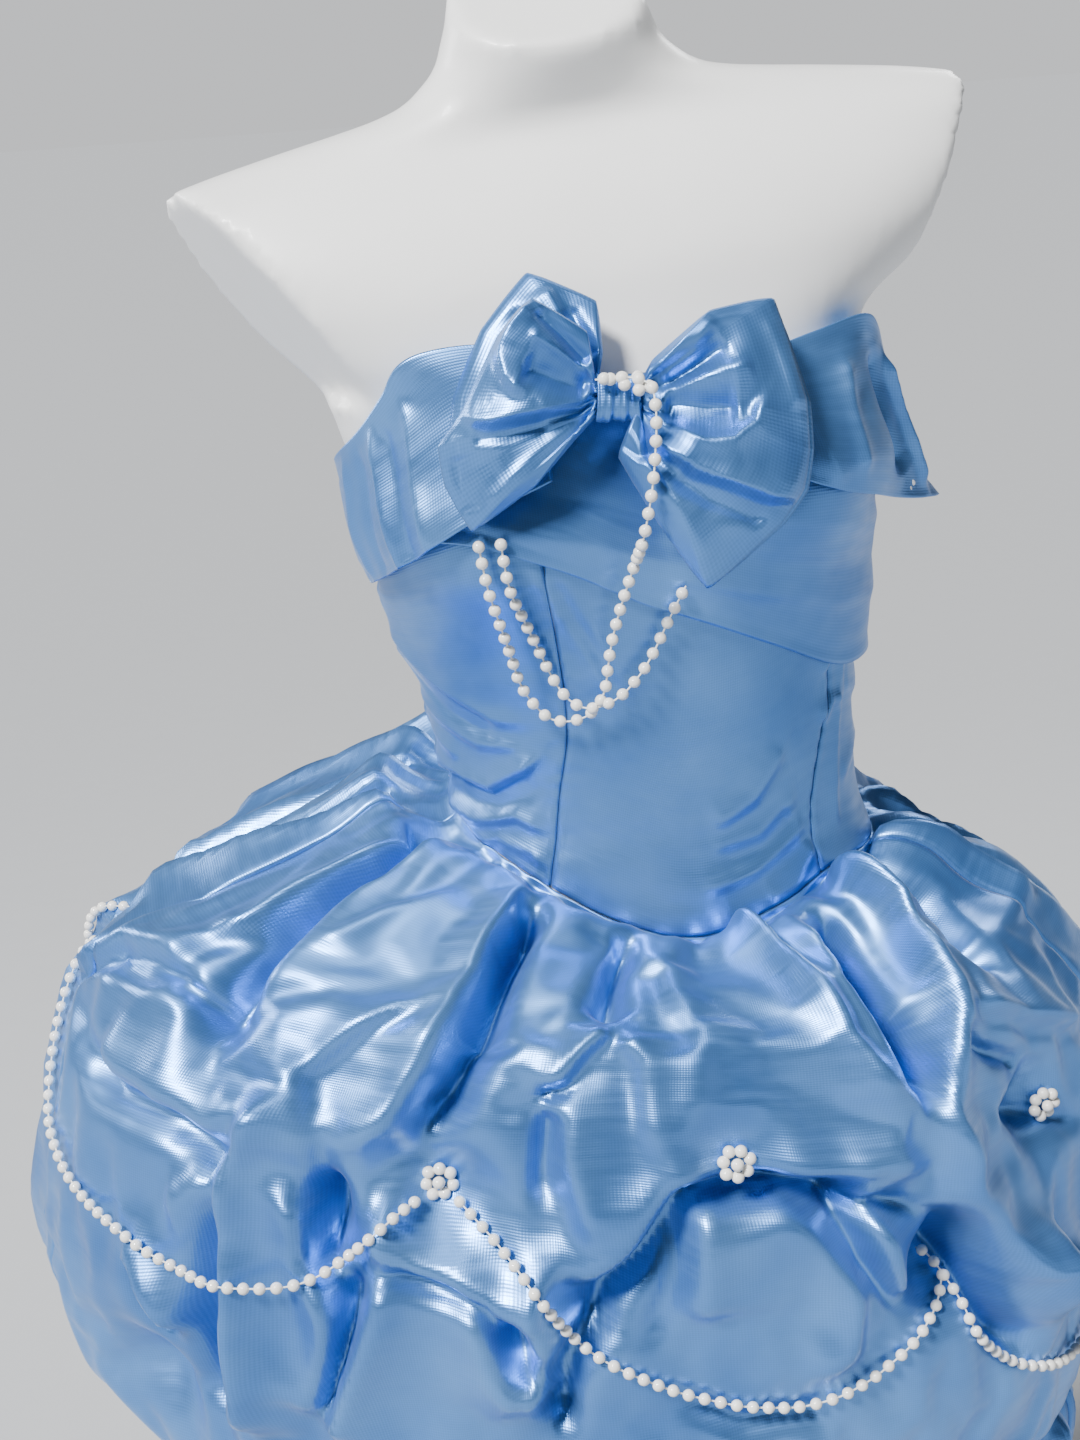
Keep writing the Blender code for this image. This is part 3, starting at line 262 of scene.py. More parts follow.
# Folds of each wing in the bow's axes.
# columns: steep width, long width, rise, lean, then across and up of each point
BOW_FOLDS = {
    "bow_right_back": line_rows(4, 1, (
        (0.4, 0.9, -0.4, 0, -1.2, 2, -2.6, 4.6),
        (0.3, 1, 0.35, 0.2, -1.5, 1.6, -3.8, 5.8),
        (0.5, 0.8, -0.35, 0, -2, 1.4, -5.6, 4.6))),
    "bow_right_front": line_rows(4, 1, (
        (0.3, 1.1, 0.75, 0.3, -4.3, 4.7, -5.4, 3.2, -5.8, 2.1, -5.4, 0.8, -4.4, 0),
        (0.4, 0.4, -0.75, 0, -4.1, 4.1, -2.8, 2.9, -1.4, 1.6),
        (0.3, 0.4, 0.35, 0, -4.4, 2.9, -3, 2.1, -1.2, 1.1),
        (0.75, 0.75, -0.95, 0, -4.7, 1.5, -3.2, 0.9, -1.4, 0.5),
        (0.26, 1, 0.75, 0.35, -8, -1, -6.4, -1.1, -4.4, -0.7, -1.2, 0.1),
        (0.5, 0.9, -0.4, 0, -7.4, -1.9, -5.4, -1.8, -3.4, -1.2),
        (0.5, 0.8, -0.3, 0, -8.1, -2.8, -7.6, -5.8),
        (0.4, 0.7, 0.25, 0, -1.6, -0.9, -4.2, -3, -6.8, -5.6))),
    "bow_left_back": line_rows(4, 1, (
        (0.5, 0.9, -0.4, 0, 2.2, -2.6, 5, -6.8),
        (0.4, 0.9, 0.3, 0, 2, 1.2, 6.8, 4),
        (0.4, 0.8, 0.3, 0, 2.4, -1.8, 7.8, -5))),
    "bow_left_front": line_rows(4, 1, (
        (0.25, 1.5, 1, 0.35, 1.4, -1.2, 2.6, -2.6, 4, -3.5, 5.6, -4, 9.5, -5.2),
        (0.6, 1, -0.55, 0, 2.8, -3.7, 4.6, -4.9, 7.6, -5.9),
        (0.35, 0.9, 0.6, 0.25, 7.4, 0.2, 6.9, -1.4, 5.8, -2.2, 4.3, -2.3, 2.6, -1.5),
        (0.95, 0.95, -1, 0, 2.2, -0.3, 4.2, -0.5, 6, -0.5),
        (0.5, 0.5, -0.65, 0, 1.8, 0.4, 3.4, 1.3, 5.4, 2.7),
        (0.35, 0.9, 0.5, 0.2, 6.8, 1.6, 4.4, 0.9, 2, 0.1),
        (0.4, 0.9, 0.4, 0.15, 1.9, 0.8, 3.6, 2.2, 4.6, 4.1),
        (0.4, 0.8, 0.3, 0, 7.3, 4.2, 8.4, 1.6, 9, -0.8),
        (0.25, 0.4, -0.35, 0, 0, -2.2, 1.1, -2.9, 2, -2.6),
        (0.4, 0.8, 0.25, 0, 1.4, -2.8, 2.9, -5.2, 4.6, -8.6)))}
# Edges of the wings, with their corners.  columns: across, up, out (cm)
BOW_EDGES = {
    "bow_right_back": np.array([
        (-1.12, 0.9, -0.25), (-0.75, 2.4, -0.4), (-1.1, 5.0, -0.5), (-4.6, 6.5, -1.0), (-6.9, 3.6, -1.0),
        (-8.3, 0.2, -1.15), (-8.7, -4.2, -1.2), (-7.1, -6.2, -0.95), (-3.6, -3.6, -0.5),
        (-1.12, -0.9, -0.25)]),
    "bow_right_front": np.array([
        (-1.13, 0.9, 0.35), (-1.6, 3.2, 1.0), (-4.3, 4.7, 1.5), (-6.0, 2.9, 1.4), (-7.9, -0.9, 0.6),
        (-9.0, -2.4, 0.0), (-8.7, -4.3, -0.5), (-7.3, -6.6, -0.35), (-4.2, -4.5, 0.3), (-1.13, -0.9, 0.35)]),
    "bow_left_back": np.array([
        (1.12, -0.9, -0.25), (1.6, -5.4, -0.7), (4.7, -9.3, -1.1), (8.5, -6.1, -1.6), (9.7, -4.4, -1.8),
        (10.0, -2.3, -1.9), (9.8, 0.2, -1.8), (8.0, 5.0, -1.6), (4.4, 4.2, -0.9), (1.12, 0.9, -0.25)]),
    "bow_left_front": np.array([
        (1.13, -0.9, 0.35), (0.3, -1.9, 0.3), (0.0, -3.0, 0.25), (2.0, -6.3, 0.3), (4.5, -9.5, -0.3),
        (8.2, -6.2, -0.5), (9.3, -4.5, -0.45), (9.6, -2.5, -0.3), (9.4, 0.0, -0.2), (7.8, 5.1, -0.4),
        (4.5, 4.3, 0.6), (1.7, 1.9, 0.5), (1.13, 0.9, 0.35)])}
# How much steeper, wider and higher than drawn the bodice's creases are, and their greatest depth (cm)
BODICE_CREASE_SCALE = (0.8, 1.2, 1.4)
BODICE_DEEPEST = -0.12
# Creases of the bodice.
# columns: steep width, long width, rise, lean, then angle x 0.2 and height of each point
BODICE_CREASES = line_rows(4, 1, (
    (0.5, 1, 0.2, 0, 0.2, -2.9, 3, -2.2, 6.9, -0.2),
    (0.5, 0.9, 0.16, 0, 0.8, -0.6, 3.6, -0.2, 5.2, 0.9, 6.6, 1),
    (0.5, 1, 0.22, 0.1, 1, 0.6, 3.4, 1.8, 5.6, 4.2),
    (0.6, 0.9, -0.12, 0, 1.4, -1.8, 3.8, -1.2, 6.2, 0.2),
    (0.4, 0.8, 0.2, 0.1, 3.4, -4, 5.2, -3.6, 7.2, -1.6),
    (0.5, 0.8, 0.22, 0.1, -5, 17.5, -4.4, 14, -3.4, 10.6, -2.8, 8),
    (0.5, 0.8, 0.2, 0.1, -4.2, 17.4, -3.4, 13.8, -2.5, 10.4, -2.2, 8.4),
    (0.5, 0.8, -0.2, 0, -4.6, 17.4, -3.9, 13.9, -3, 10.5, -2.5, 8.2),
    (0.35, 0.8, 0.42, 0.2, -19, 3.2, -15, 3.6, -11.5, 3.2, -8.6, 4.8, -7.4, 5.8),
    (0.5, 0.8, -0.34, 0, -19, 2.2, -15, 2.4, -11, 2.2, -8, 3.6),
    (0.3, 0.6, 0.26, 0.1, -17.5, 1.2, -13, 0.8, -9.6, 1.6, -7.6, 0.8),
    (0.3, 0.6, 0.22, 0.1, -14, -0.6, -11, 0, -8.6, -0.4, -7.4, -1.2),
    (0.4, 0.7, 0.24, 0.1, -19.4, 12.6, -14, 9.6, -10, 7.8, -7.8, 7.6),
    (0.6, 0.9, -0.26, 0, -19.4, 11, -14.4, 8.2, -10, 6.6),
    (0.4, 0.8, 0.22, 0.1, -20, 8.6, -16, 7.2, -12, 6, -8.4, 6.2),
    (0.5, 0.8, 0.2, 0.1, -20.2, 6, -17, 5.6, -14, 4.8),
    (0.4, 0.7, 0.16, 0, 9.6, -1.4, 10.6, 4, 11.6, 9),
    (0.3, 0.5, 0.22, 0.1, 8.8, 4.6, 9.7, 5.6, 10.8, 5.4),
    (0.3, 0.5, 0.22, 0.1, 8.8, 7.2, 9.7, 8.4, 11, 8),
    (0.5, 0.9, 0.18, 0.1, 10.5, 1, 14, 2.4, 18, 2.2),
    (0.5, 0.9, 0.18, 0.1, 11, 6, 14.5, 5.2, 18.5, 6.4),
    (0.5, 0.9, 0.2, 0.1, 20, 2, 26, 3.6, 34, 2.6),
    (0.5, 0.9, 0.2, 0.1, 21, 6.4, 28, 5, 35, 6.8),
    (0.5, 0.9, 0.2, 0.1, 37, 1.6, 43, 3.4, 49, 2.4),
    (0.5, 0.9, 0.2, 0.1, 37, 6, 44, 5.2, 50, 7),))
# Creases of the bust drape.  columns: width, rise, then angle x 0.2 and height of each point
DRAPE_CREASES = line_rows(2, 1, (
    (0.6, 0.16, -2, 16.2, 3, 13.8, 8.5, 11.4, 14, 10.4, 19, 10.6),
    (0.7, -0.12, -1, 17.4, 4, 15.2, 9, 13, 15, 12.2, 19, 12.6),
    (0.6, 0.14, 1, 18.8, 6, 16.6, 11, 14.8, 16, 14.6),
    (0.6, 0.12, -11, 21, -7, 20.2, -3, 18, 1, 15.4),
    (0.6, -0.1, -10, 22.2, -6, 21.6, -2, 19.6, 3, 16.6),
    (0.5, 0.1, 4, 21, 8, 18.6, 13, 17.2),))
# The collars: outline, first and last angle, columns of the grid, seed, and folds.
# columns of the folds: width, rise, then angle x 0.22 and height of each point
COLLARS = (
    ("collar_right", COLLAR_RIGHT, -108, -18, 101, 41, line_rows(2, 1, (
        (0.4, 0.5, -12.6, 25.5, -12.4, 21, -11.6, 16.8),
        (0.6, -0.45, -11.6, 25.4, -11.2, 20.5, -10.7, 17.4),
        (0.4, 0.4, -9.6, 26.6, -10, 22, -9.6, 18.2),
        (0.6, -0.35, -14.2, 24.8, -14.4, 20.4, -14.2, 16.4),
        (0.5, 0.4, -16.4, 23.6, -16.6, 19, -16.4, 15.8),
        (0.7, -0.2, -18.5, 22, -18.8, 18, -19, 15.4),
        (0.6, 0.2, -21.5, 21.5, -21.5, 18, -21, 15.4)))),
    ("collar_left", COLLAR_LEFT, 18, 96, 91, 42, line_rows(2, 1, (
        (0.4, 0.75, 14.8, 23.6, 15.6, 20, 16.2, 15.6),
        (0.8, -0.6, 12.9, 24.2, 13.4, 21, 14.2, 17),
        (0.5, 0.4, 9.8, 24.6, 9.4, 21.5, 9, 18.4),
        (0.7, -0.6, 17.6, 22.6, 18, 18.6, 18.2, 15.2),
        (0.6, 0.25, 6.5, 23.6, 6.8, 21, 7.4, 18.2)))),
    ("collar_back", COLLAR_BACK, 96, 246, 121, 43, line_rows(2, 1, (
        (0.8, 0.25, 25, 20.5, 25.4, 17, 25.6, 14),
        (0.9, -0.22, 30, 19.5, 30, 16, 29.6, 12.8),
        (0.8, 0.22, 35, 18, 35.6, 15, 36, 12.2),
        (0.9, -0.22, 41, 17, 41, 14.5, 40.6, 12),
        (0.8, 0.22, 46, 18, 45.6, 15, 45, 12.6),
        (0.8, -0.2, 50.5, 19, 50.5, 16, 50.8, 13.8)))))
PEARL_PITCH = 0.88           # cm from pearl to pearl
SEAT_GAP = 0.02              # cm that pearls clear the cloth by
# Where two garlands meet with no flower: angle, along
GARLAND_JOIN = (21.9, 0.462)
THREAD_RADIUS = 0.05
FLOWER_PETALS = 7
# Small pearl cluster on the knot, in the bow's axes.  columns: across, up, out (cm)
KNOT_BEADS = ((-0.45, 0.75, 1.25), (0.25, 0.45, 1.45), (0.9, 0.85, 1.35), (1.45, 0.35, 1.6),
              (0.95, 0.15, 1.75))
CLEAR_BEAD = 0.4
# Clear beads at the left collar's corner.  columns: angle, height, stand-off (cm)
CLEAR_BEADS = ((66.5, 16.1, 3.0), (68.0, 16.3, 3.15), (67.4, 15.7, 3.15))
# Where the skirt is caught up.  columns: angle, along, reach cm, depth cm
PICK_UPS = (
    (-106, 0.29, 4.5, 1.4), (-26.5, 0.393, 4.0, 1.2), (-2, 0.378, 3.6, 1.0), (41, 0.370, 4.0, 1.2),
    (21.5, 0.468, 4.0, 1.6), (88, 0.390, 4.5, 1.6), (136, 0.400, 4.5, 1.6), (176, 0.390, 4.5, 1.4),
    (-146, 0.400, 4.5, 1.6), (-60, 0.560, 4.5, 1.6))
CREASE_END = 0.14            # the share of a crease over which each of its ends fades
# Main creases of the skirt that shows: ridges (+) and valleys (-), each along a line.
# columns: width cm, rise cm, then the angle and 1000 x the along of each point
CREASES = line_rows(2, 1000, (
    (1.7, -1.8, -76.5, 10, -64.5, 98, -64, 138, -59.5, 205, -56.5, 255, -54, 308, -53, 330),
    (0.8, 0.9, -69.5, 48, -69.5, 118, -68, 162, -67, 198, -69.5, 230),
    (1.8, 0.5, -61, 50, -57.5, 120, -58, 173, -54.5, 218, -50, 260),
    (0.5, 0.35, -45, 100, -49.5, 150, -51, 185, -52.5, 202),
    (0.7, 1.2, -38, 68, -35, 143, -32.5, 190, -31, 238, -30.5, 295, -31.5, 325, -33.5, 362, -34, 388),
    (1.7, -2, -34, 60, -30, 165, -26.5, 268, -27.5, 332, -29, 375),
    (0.7, 0.5, -34.5, 220, -37, 250, -42, 322, -40.5, 348, -38.5, 390),
    (0.6, -0.6, -81.5, 283, -70.5, 262, -60.5, 275, -54.5, 288),
    (0.7, 0.4, -89, 352, -79.5, 308, -62, 292, -55, 300),
    (1, -1.3, -74.5, 362, -66.5, 375, -55.5, 380, -49, 392, -45.5, 385, -43.5, 370),
    (1, 0.5, -71.5, 348, -59, 358, -50, 368, -45.5, 348),
    (0.6, 1.1, -42.5, 330, -43.5, 370, -45, 392, -45, 422, -44, 460, -43.5, 518, -45, 570),
    (0.6, 0.8, -39, 392, -40, 408, -39, 442, -36.5, 480, -37.5, 510, -40, 545),
    (1.3, -2.3, -37, 392, -36.5, 422, -38, 450),
    (1.6, -1.6, -46, 410, -48, 452, -49.5, 498, -51, 575),
    (0.5, 0.8, -59.5, 455, -55, 475, -51.5, 500),
    (0.8, -1.3, -58.5, 462, -57.5, 495, -55, 515),
    (0.6, 0.9, -29.5, 398, -30.5, 425, -25, 438, -20.5, 452, -16.5, 428),
    (0.9, -1.2, -30.5, 438, -25, 448, -21.5, 462),
    (0.8, 0.8, -29, 438, -31, 473, -33, 505, -37, 560),
    (1.2, -1.4, -33, 450, -35, 495, -38, 540),
    (0.6, 0.8, -24, 448, -24, 475, -22.5, 508, -20.5, 532),
    (0.6, 0.9, -19, 445, -17, 488, -18, 518, -20.5, 532),
    (0.9, -1.5, -20.5, 468, -19, 508),
    (1.2, 0.8, -91, 332, -80, 268, -65.5, 248),
    (0.9, 0.6, -49, 405, -52, 420, -54.5, 428),
    (1, -1.5, -15, 60, -15.5, 125, -14.5, 208),
    (0.5, 0.8, -18.5, 310, -17, 275, -14, 232),
    (1, -1.5, -18, 312, -17.5, 318),
    (0.7, 0.7, -18, 315, -16, 338, -15, 372, -14, 400, -13, 415),
    (0.9, -1.1, -17, 328, -17.5, 368, -18, 400),
    (0.8, 0.6, -12, 240, -9, 280, -8.5, 318, -8.5, 358),
    (1.5, 0.5, -13.5, 82, -8, 130, -4, 230, -4.5, 308, -5.5, 358),
    (0.8, 1.1, 7, 0, 10, 95, 10.5, 173, 11, 260, 13.5, 315, 15.5, 348),
    (0.8, 1, 19.5, 65, 15, 182, 16, 312, 21, 368),
    (1.3, -2.2, 26.5, 75, 21, 220, 22, 300, 22, 345),
    (1, 1.6, 42, 0, 38.5, 108, 32.5, 198, 29.5, 265, 25.5, 308, 23, 345, 24.5, 378, 24.5, 402, 29, 442, 34,
     485, 38.5, 535, 40, 565),
    (1.5, -1.3, 56.5, 0, 56.5, 105, 47.5, 178, 47.5, 228),
    (0.8, 0.8, 68.5, 8, 71.5, 110, 70.5, 218),
    (1, 0.8, 33.5, 248, 41.5, 272, 55.5, 318),
    (1, -0.9, 29.5, 280, 34.5, 308, 41, 330),
    (0.9, -0.7, 33, 362, 40.5, 382, 50.5, 402),
    (0.6, 1, 38, 452, 34.5, 468, 37.5, 498, 47, 525),
    (0.8, -1.4, 39.5, 462, 38, 482, 43, 503),
    (0.9, 1.3, -18, 430, -14.5, 435, -11, 415, -8.5, 392, -6.5, 375, -3, 375, 0.5, 370, 6, 370, 13.5, 370,
     21, 380),
    (1.1, -1.7, -17.5, 442, -13.5, 460, -10, 430, -7, 392, -4, 388, 5, 395, 14, 405, 20, 420),
    (1.2, -2, -13, 462, -16, 505, -17.5, 550),
    (0.8, 0.6, -4, 390, -4.5, 438, -5, 478),
    (0.9, -0.6, -6.5, 405, -7.5, 455, -9.5, 488),
    (1.2, 0.5, -1, 392, 4.5, 428, 9, 470, 8, 505, 3, 518),
    (0.8, 0.8, 11, 380, 13.5, 415, 16, 460, 18, 480),
    (0.8, -0.7, 7.5, 400, 11.5, 452, 16, 485),
    (1.2, -1.9, 22.5, 425, 24.5, 450, 30, 515, 35.5, 565),
    (0.7, -0.9, -7.5, 532, -2.5, 552, 6.5, 552),))


# ---------------------------------------------------------------- shared shape functions


def smooth(rows, at, column):
    """Cubic through one column of a table, by its first column."""
    x, y = rows[:, 0], rows[:, column]
    slope = np.gradient(y, x)
    at = np.clip(np.asarray(at, float), x[0], x[-1])
    i = np.clip(np.searchsorted(x, at) - 1, 0, len(x) - 2)
    step = x[i + 1] - x[i]
    s = (at - x[i]) / step
    return ((2 * s**3 - 3 * s**2 + 1) * y[i] + (s**3 - 2 * s**2 + s) * step * slope[i]
            + (3 * s**2 - 2 * s**3) * y[i + 1] + (s**3 - s**2) * step * slope[i + 1])


def ease(s):
    """Smooth 0 to 1."""
    s = np.clip(s, 0, 1)
    return s * s * (3 - 2 * s)


def wrapped(angle):
    """The same angle from -180 to 180."""
    return (np.asarray(angle, float) + 180) % 360 - 180


def leaned(p):
    """Tilts what is above the waist over to the wearer's right."""
    turn = np.radians(LEAN["degrees"]) * ease((p[..., 2] - LEAN["start"]) / (LEAN["end"] - LEAN["start"]))
    x, up = p[..., 0], p[..., 2] - LEAN["pivot"]
    return np.stack([x * np.cos(turn) - up * np.sin(turn), p[..., 1],
                     LEAN["pivot"] + x * np.sin(turn) + up * np.cos(turn)], -1)


def body(angle, height, out=0.0):
    """A point on the form's skin, pushed out level by some cm."""
    angle, height = np.broadcast_arrays(np.asarray(angle, float), np.asarray(height, float))
    turn = np.radians(angle)
    half = smooth(FORM, height, 1)
    deep = np.where(np.cos(turn) > 0, smooth(FORM, height, 2), smooth(FORM, height, 3))
    power = 2 / smooth(FORM, height, 4)
    side = (np.abs(wrapped(angle)) - BUST["angle"]) / BUST["spread"]
    bust = BUST["rise"] * np.exp(-side**2 - ((height - BUST["height"]) / BUST["tall"])**2)
    x = half * np.sign(np.sin(turn)) * np.abs(np.sin(turn))**power
    y = -deep * np.sign(np.cos(turn)) * np.abs(np.cos(turn))**power
    nx, ny = x / half**2, y / deep**2
    push = (out + bust) / (np.hypot(nx, ny) + 1e-9)
    return leaned(np.stack([x + push * nx, y + push * ny + smooth(FORM, height, 5), height + 0 * x], -1))


def seam(angle):
    """Height of the waist seam."""
    return smooth(SEAM, wrapped(angle), 1)


def skirt_plain(angle, along):
    """The skirt's surface without its folds."""
    angle, along = np.broadcast_arrays(np.asarray(angle, float), np.asarray(along, float))
    s, c = np.sin(np.radians(angle)), np.cos(np.radians(angle))
    across = np.where(s < 0, smooth(SKIRT, along, 3), smooth(SKIRT, along, 5))
    deep = np.where(c > 0, smooth(SKIRT, along, 4), smooth(SKIRT, along, 6))
    share = (1 - s) / 2
    height = share * smooth(SKIRT, along, 1) + (1 - share) * smooth(SKIRT, along, 2)
    table = np.stack([across * s, -deep * c, height + seam(angle) * (1 - ease(along / 0.36))], -1)
    sewn = body(angle, seam(angle), BODICE_OUT + SKIRT_FLARE * along)
    sewn = sewn + np.stack([0 * height, 0 * height, height - 0.01], -1)
    near = (1 - ease(along / 0.05))[..., None]
    return sewn * near + table * (1 - near)


def place(p):
    """Dress coordinates in cm to metres above the floor."""
    return np.asarray(p, float) * CM + np.array([0.0, 0.0, WAIST_HEIGHT])


def unplaced(p):
    """Metres above the floor to dress coordinates in cm."""
    return (np.asarray(p, float) - [0, 0, WAIST_HEIGHT]) / CM


def unit(v, tiny=0.0):
    """Vectors made 1 long."""
    return v / (np.linalg.norm(v, axis=-1, keepdims=True) + tiny)


def bell(x, width):
    """1 where x is 0, falling to 0 over some widths."""
    return np.exp(-(x / width)**2)


def skirt_gap(angle, along, per_degree, spot):
    """Distance in cm along the skirt from a spot given by its angle and along."""
    return np.hypot(wrapped(angle - spot[0]) * per_degree, (along - spot[1]) * SKIRT_LENGTH)


def averaged(values, half):
    """Each value's mean with its neighbours, some on each side."""
    count = 2 * half + 1
    return np.convolve(np.pad(values, half, mode="edge"), np.ones(count) / count, mode="valid")


def sliding(pick, values, half):
    """The least or greatest of each value and its neighbours, some on each side."""
    padded = np.pad(values, half, mode="edge")
    return pick([padded[i:i + len(values)] for i in range(2 * half + 1)], axis=0)


# ---------------------------------------------------------------- making pieces


def linked(name, data):
    """A new object in the scene."""
    obj = bpy.data.objects.new(name, data)
    bpy.context.scene.collection.objects.link(obj)
    return obj


def built(name, mesh):
    """A new object in the scene from a bmesh, which is freed."""
    data = bpy.data.meshes.new(name)
    mesh.to_mesh(data)
    mesh.free()
    return linked(name, data)


def grid_faces(rows, columns, closed=False):
    """Quads of a grid whose rows go down and columns go round."""
    i, j = np.meshgrid(np.arange(rows - 1), np.arange(columns if closed else columns - 1), indexing="ij")
    k = (j + 1) % columns
    return np.stack([i * columns + j, (i + 1) * columns + j, (i + 1) * columns + k, i * columns + k],
                    -1).reshape(-1, 4)


def cloth_lengths(points):
    """Distance round and down the cloth at each grid point, in cm, for its weave."""
    around = np.linalg.norm(np.diff(points, axis=1), axis=-1).mean(axis=0)
    down = np.linalg.norm(np.diff(points, axis=0), axis=-1).mean(axis=1)
    u = np.concatenate([[0], np.cumsum(around)])
    v = np.concatenate([[0], np.cumsum(down)])
    return np.broadcast_to(u[None, :], points.shape[:2]), np.broadcast_to(v[:, None], points.shape[:2])


def grid_object(name, points, closed=False):
    """A mesh object through a grid of points, with the cloth's own lengths as its UV map."""
    rows, columns = points.shape[:2]
    faces = grid_faces(rows, columns, closed)
    data = bpy.data.meshes.new(name)
    data.from_pydata(place(points).reshape(-1, 3).tolist(), [], faces.tolist())
    u, v = cloth_lengths(points)
    flat = np.stack([u.ravel(), -v.ravel()], -1) * UV_PER_CM
    layer = data.uv_layers.new(name="cloth")
    layer.data.foreach_set("uv", flat[faces.ravel()].astype(np.float32).ravel())
    data.shade_smooth()
    return linked(name, data)


def drawn_back(grid):
    """A grid with its side edges drawn back a little."""
    for edge, inner in ((0, 1), (-1, -2)):
        grid[:, edge] += unit(grid[:, inner] - grid[:, edge], TINY) * EDGE_TUCK
    return grid


def finished(obj, finish, wall=CLOTH_WALL, levels=0):
    """Gives a cloth grid its thickness, inwards, and its finish; levels smooth it first."""
    if levels:
        fine = obj.modifiers.new("fine", "SUBSURF")
        fine.levels = levels
        fine.render_levels = levels
    solid = obj.modifiers.new("wall", "SOLIDIFY")
    solid.thickness = wall * CM
    solid.offset = -1.0
    obj.data.materials.clear()
    obj.data.materials.append(finish)
    return obj


def apply_all(obj):
    """Replaces an object's mesh by what its modifiers make of it."""
    depsgraph = bpy.context.evaluated_depsgraph_get()
    made = bpy.data.meshes.new_from_object(obj.evaluated_get(depsgraph))
    obj.modifiers.clear()
    old = obj.data
    obj.data = made
    bpy.data.meshes.remove(old)


def creases(lines, x, y):
    """Folds along drawn lines: how far out each point goes, and its shift across the fold, in cm.

    lines: (steep width, long width, rise, lean, points); the steep side is on the right of the
    way the points run, and the crest leans over towards it.  x and y are cm on the cloth."""
    rise = np.zeros(np.shape(x))
    shift = np.zeros((*np.shape(x), 2))
    for steep, gentle, height, lean, points in lines:
        best = np.full(np.shape(x), FAR)
        side, run = np.zeros(np.shape(x)), np.zeros(np.shape(x))
        across = np.zeros((*np.shape(x), 2))
        sizes = [math.dist(p, q) + TINY for p, q in zip(points[:-1], points[1:])]
        so_far = 0.0
        for p, q, size in zip(points[:-1], points[1:], sizes):
            dx, dy = (q[0] - p[0]) / size, (q[1] - p[1]) / size
            s = np.clip((x - p[0]) * dx + (y - p[1]) * dy, 0, size)
            ox, oy = x - p[0] - s * dx, y - p[1] - s * dy
            off = np.hypot(ox, oy)
            nearer = off < best
            best = np.where(nearer, off, best)
            side = np.where(nearer, dx * oy - dy * ox, side)
            run = np.where(nearer, (so_far + s) / sum(sizes), run)
            across = np.where(nearer[..., None], np.array([dy, -dx]), across)
            so_far += size
        width = np.where(side < 0, steep, gentle)
        ends = 0.2 + 0.8 * ease(run / CREASE_END) * ease((1 - run) / CREASE_END)
        shape = np.exp(-(np.sqrt(best**2 + 0.01) / width)**np.where(side < 0, 1.7, 1.25)) * ends
        rise += height * shape
        shift += across * (lean * height * np.exp(-(best / (1.2 * gentle))**2) * ends)[..., None]
    return rise, shift


def crease_field(lines, across, down):
    """Height of plain creases (width, rise, points) at points given in cm across and down."""
    return creases([(w, w, r, 0.0, points) for w, r, points in lines], across, down)[0]


def resample(grid, rows, columns):
    """A grid of points at a finer even spacing, by cubic curves both ways."""
    for count in (rows, columns):
        index = np.arange(len(grid), dtype=float)
        at = np.linspace(0, len(grid) - 1, count)
        i = np.clip(at.astype(int), 0, len(grid) - 2)
        s = (at - i).reshape(-1, *[1] * (grid.ndim - 1))
        slope = np.gradient(grid, index, axis=0)
        grid = ((2 * s**3 - 3 * s**2 + 1) * grid[i] + (s**3 - 2 * s**2 + s) * slope[i]
                + (3 * s**2 - 2 * s**3) * grid[i + 1] + (s**3 - s**2) * slope[i + 1])
        grid = np.swapaxes(grid, 0, 1)
    return grid


def waves(across, down, seed, count, size, stretch=1.0):
    """Smooth uneven ripples, seeded: a sum of sines of many directions and lengths."""
    rng = np.random.default_rng(seed)
    total = np.zeros(np.shape(across))
    for _ in range(count):
        turn = rng.uniform(0, math.pi)
        length = size * rng.uniform(0.6, 1.7)
        phase = rng.uniform(0, 2 * math.pi)
        way = across * math.cos(turn) / stretch + down * math.sin(turn)
        total += np.sin(2 * math.pi * way / length + phase)
    return total / math.sqrt(count)


def settle(obj, hold):
    """Cloth simulation with some of the cloth held, its result applied to the mesh."""
    group = obj.vertex_groups.new(name="hold")
    steps = np.round(np.clip(hold, 0, 1) * 50) / 50
    for level in np.unique(steps):
        group.add(np.nonzero(steps == level)[0].tolist(), float(level), "REPLACE")
    cloth = obj.modifiers.new("cloth", "CLOTH")
    for key, value in CLOTH_SETTINGS.items():
        setattr(cloth.settings, key, value)
    cloth.settings.effector_weights.gravity = SETTLE_GRAVITY
    cloth.collision_settings.use_collision = False
    cloth.point_cache.frame_start = 1
    cloth.point_cache.frame_end = SETTLE_FRAMES
    scene = bpy.context.scene
    for frame_number in range(1, SETTLE_FRAMES + 1):
        scene.frame_set(frame_number)
    apply_all(obj)
    scene.frame_set(1)
    obj.vertex_groups.clear()


def mesh_points(obj, shape):
    """An object's vertices as a grid of points in dress coordinates."""
    flat = np.empty(len(obj.data.vertices) * 3, np.float32)
    obj.data.vertices.foreach_get("co", flat)
    return unplaced(flat.reshape(*shape, 3))


# ---------------------------------------------------------------- materials


def new_material(name):
    """An empty Principled material, its tree and its shader."""
    made = bpy.data.materials.new(name)
    made.use_nodes = True
    tree = made.node_tree
    return made, tree, tree.nodes["Principled BSDF"]


def set_inputs(made, **values):
    """Sets inputs of a node, named with _ for each space."""
    for key, value in values.items():
        made.inputs[key.replace("_", " ")].default_value = value


